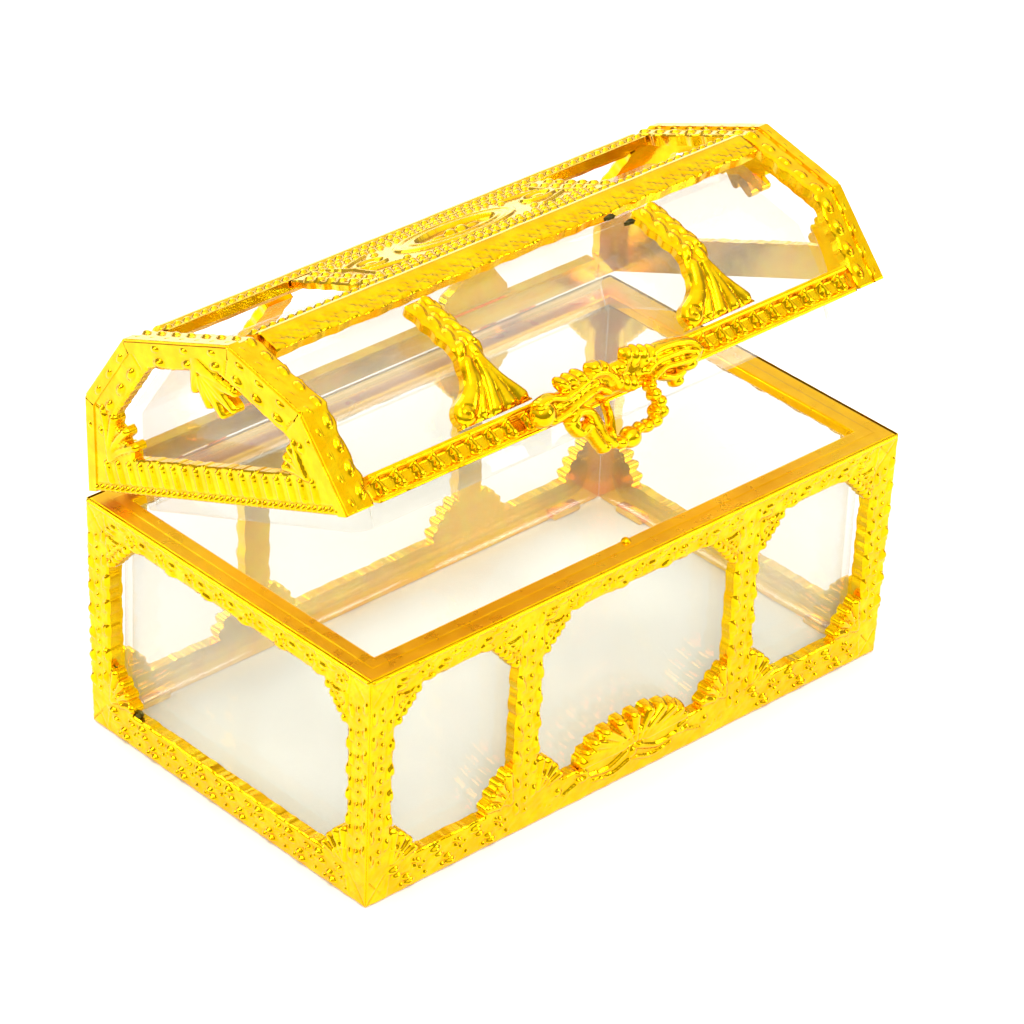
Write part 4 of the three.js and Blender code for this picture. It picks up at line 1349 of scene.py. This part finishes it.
def make_stubs():
    ridge = [stub((14.1, -14.2, LID_HEIGHT - 2.8), (0.9, 0.45, 0.35), in_lid),
             stub((15.9, -15.8, LID_HEIGHT - 4.0), (0.85, 0.45, 0.35), in_lid)]
    piece("lid_front_ridge_gates", ridge, "lid_front_ridge", BARE)
    wall = [stub((-BASE_LENGTH / 2 + 1.5, 23.4, 9.6), (0.5, 0.6, 0.5), in_base),
            stub((-BASE_LENGTH / 2 + 1.5, 18.6, 5.2), (0.5, 0.6, 0.4), in_base)]
    piece("base_left_wall_gates", wall, "base_left_wall", BARE)


def make_pins():
    length = BASE_KNUCKLE + LID_KNUCKLE / 2 + 0.3
    crown = 0.15
    outline = [(-length, 0), (-length, PIN - crown), (-length + crown, PIN), (length - crown, PIN),
               (length, PIN - crown), (length, 0)]
    for name, side in (("left", -1), ("right", 1)):
        node = "hinge_pin_" + name
        part = turned(outline, shifted(in_base, (side * HINGE_SPACING / 2, PIVOT_Y, PIVOT_Z)), 32)
        piece(node + "_wire", [part], node, SATIN)


# ---- Build ----
make_walls()
make_crest()
make_rim()
make_shell("base_tray_clear", "base_clear_tray", CLEAR_TRAY, 0.25)
make_shell("lid_dome_clear", "lid_clear_dome", CLEAR_DOME, 0.25)
for end in (-1, 1):
    make_end(end)
for where_side, row in ((-1, "front"), (1, "rear")):
    make_rail(where_side)
    make_ridge(where_side)
    for name, x_side in (("left", -1), ("right", 1)):
        make_rib(f"lid_{row}_rib_{name}", x_side * RIB_MIDDLE, where_side)
make_top()
make_lock()
make_stubs()
make_pins()


# ---- Floor, light and camera ----
def make_floor():
    mesh = bpy.data.meshes.new("floor")
    reach = 2.0
    mesh.from_pydata([(-reach, -reach, 0), (reach, -reach, 0), (reach, reach, 0), (-reach, reach, 0)], [],
                     [(0, 1, 2, 3)])
    material, nodes, links = new_material("floor_paper")
    shader = nodes["Principled BSDF"]
    shader.inputs["Roughness"].default_value = 0.9
    greys = ((0.0, (0.94, 0.94, 0.94, 1)), (1.0, (0.97, 0.97, 0.97, 1)))
    tint = ramp(nodes, links, noise(nodes, links, 8), greys)
    links.new(tint, shader.inputs["Base Color"])
    mesh.materials.append(material)
    floor = bpy.data.objects.new("floor", mesh)
    floor.location.z = -0.0002
    bpy.context.scene.collection.objects.link(floor)


def make_light(name, location, size, power):
    data = bpy.data.lights.new(name, "AREA")
    data.shape = "DISK"
    data.size = size
    data.energy = power
    lamp = bpy.data.objects.new(name, data)
    lamp.location = location
    lamp.rotation_mode = "QUATERNION"
    lamp.rotation_quaternion = (Vector((0, 0, 0.03)) - Vector(location)).to_track_quat("-Z", "Y")
    bpy.context.scene.collection.objects.link(lamp)


def make_world():
    """A white studio: bright overhead, with a darker band low down for the gilt to mirror."""
    world = bpy.data.worlds.new("studio")
    world.use_nodes = True
    nodes, links = world.node_tree.nodes, world.node_tree.links
    place = nodes.new("ShaderNodeTexCoord")
    split = nodes.new("ShaderNodeSeparateXYZ")
    links.new(place.outputs["Generated"], split.inputs["Vector"])
    grade = ramp(nodes, links, split.outputs["Z"],
                 ((0.0, (0.32, 0.32, 0.32, 1)), (0.33, (0.42, 0.42, 0.42, 1)), (0.55, (0.95, 0.95, 0.95, 1)),
                  (0.78, (1.25, 1.25, 1.25, 1))))
    links.new(grade, nodes["Background"].inputs["Color"])
    nodes["Background"].inputs["Strength"].default_value = 1.0
    bpy.context.scene.world = world


def make_camera():
    """The photographer's place: to the front and left, looking down."""
    azimuth, elevation, roll = (math.radians(a) for a in (-43.94, 31.89, 2.45))
    distance = 0.6721
    back = Vector((math.sin(azimuth) * math.cos(elevation), -math.cos(azimuth) * math.cos(elevation),
                   math.sin(elevation)))
    right = Vector((math.cos(azimuth), math.sin(azimuth), 0))
    up = back.cross(right)
    x_axis = right * math.cos(roll) + up * math.sin(roll)
    y_axis = up * math.cos(roll) - right * math.sin(roll)
    data = bpy.data.cameras.new("camera")
    data.lens = 178.34
    data.sensor_width = 36
    camera = bpy.data.objects.new("camera", data)
    target = Vector((0, 0, 0.0285)) + right * 0.00202 - up * 0.00077
    turn = Matrix((x_axis, y_axis, back)).transposed().to_4x4()
    camera.matrix_world = Matrix.Translation(target + back * distance) @ turn
    bpy.context.scene.collection.objects.link(camera)
    bpy.context.scene.camera = camera


make_floor()
make_light("key", (-0.35, -0.45, 0.75), 0.5, 4.4)
make_light("low_right", (0.52, -0.58, 0.27), 0.24, 1.2)
make_light("low_left", (-0.6, 0.5, 0.3), 0.24, 1.2)
make_light("back", (0.1, 0.7, 0.6), 0.4, 1.3)
make_light("card", (0.5, 0.7, 0.1), 0.6, 1.1)
make_world()
make_camera()
bpy.context.scene.view_settings.view_transform = "Standard"
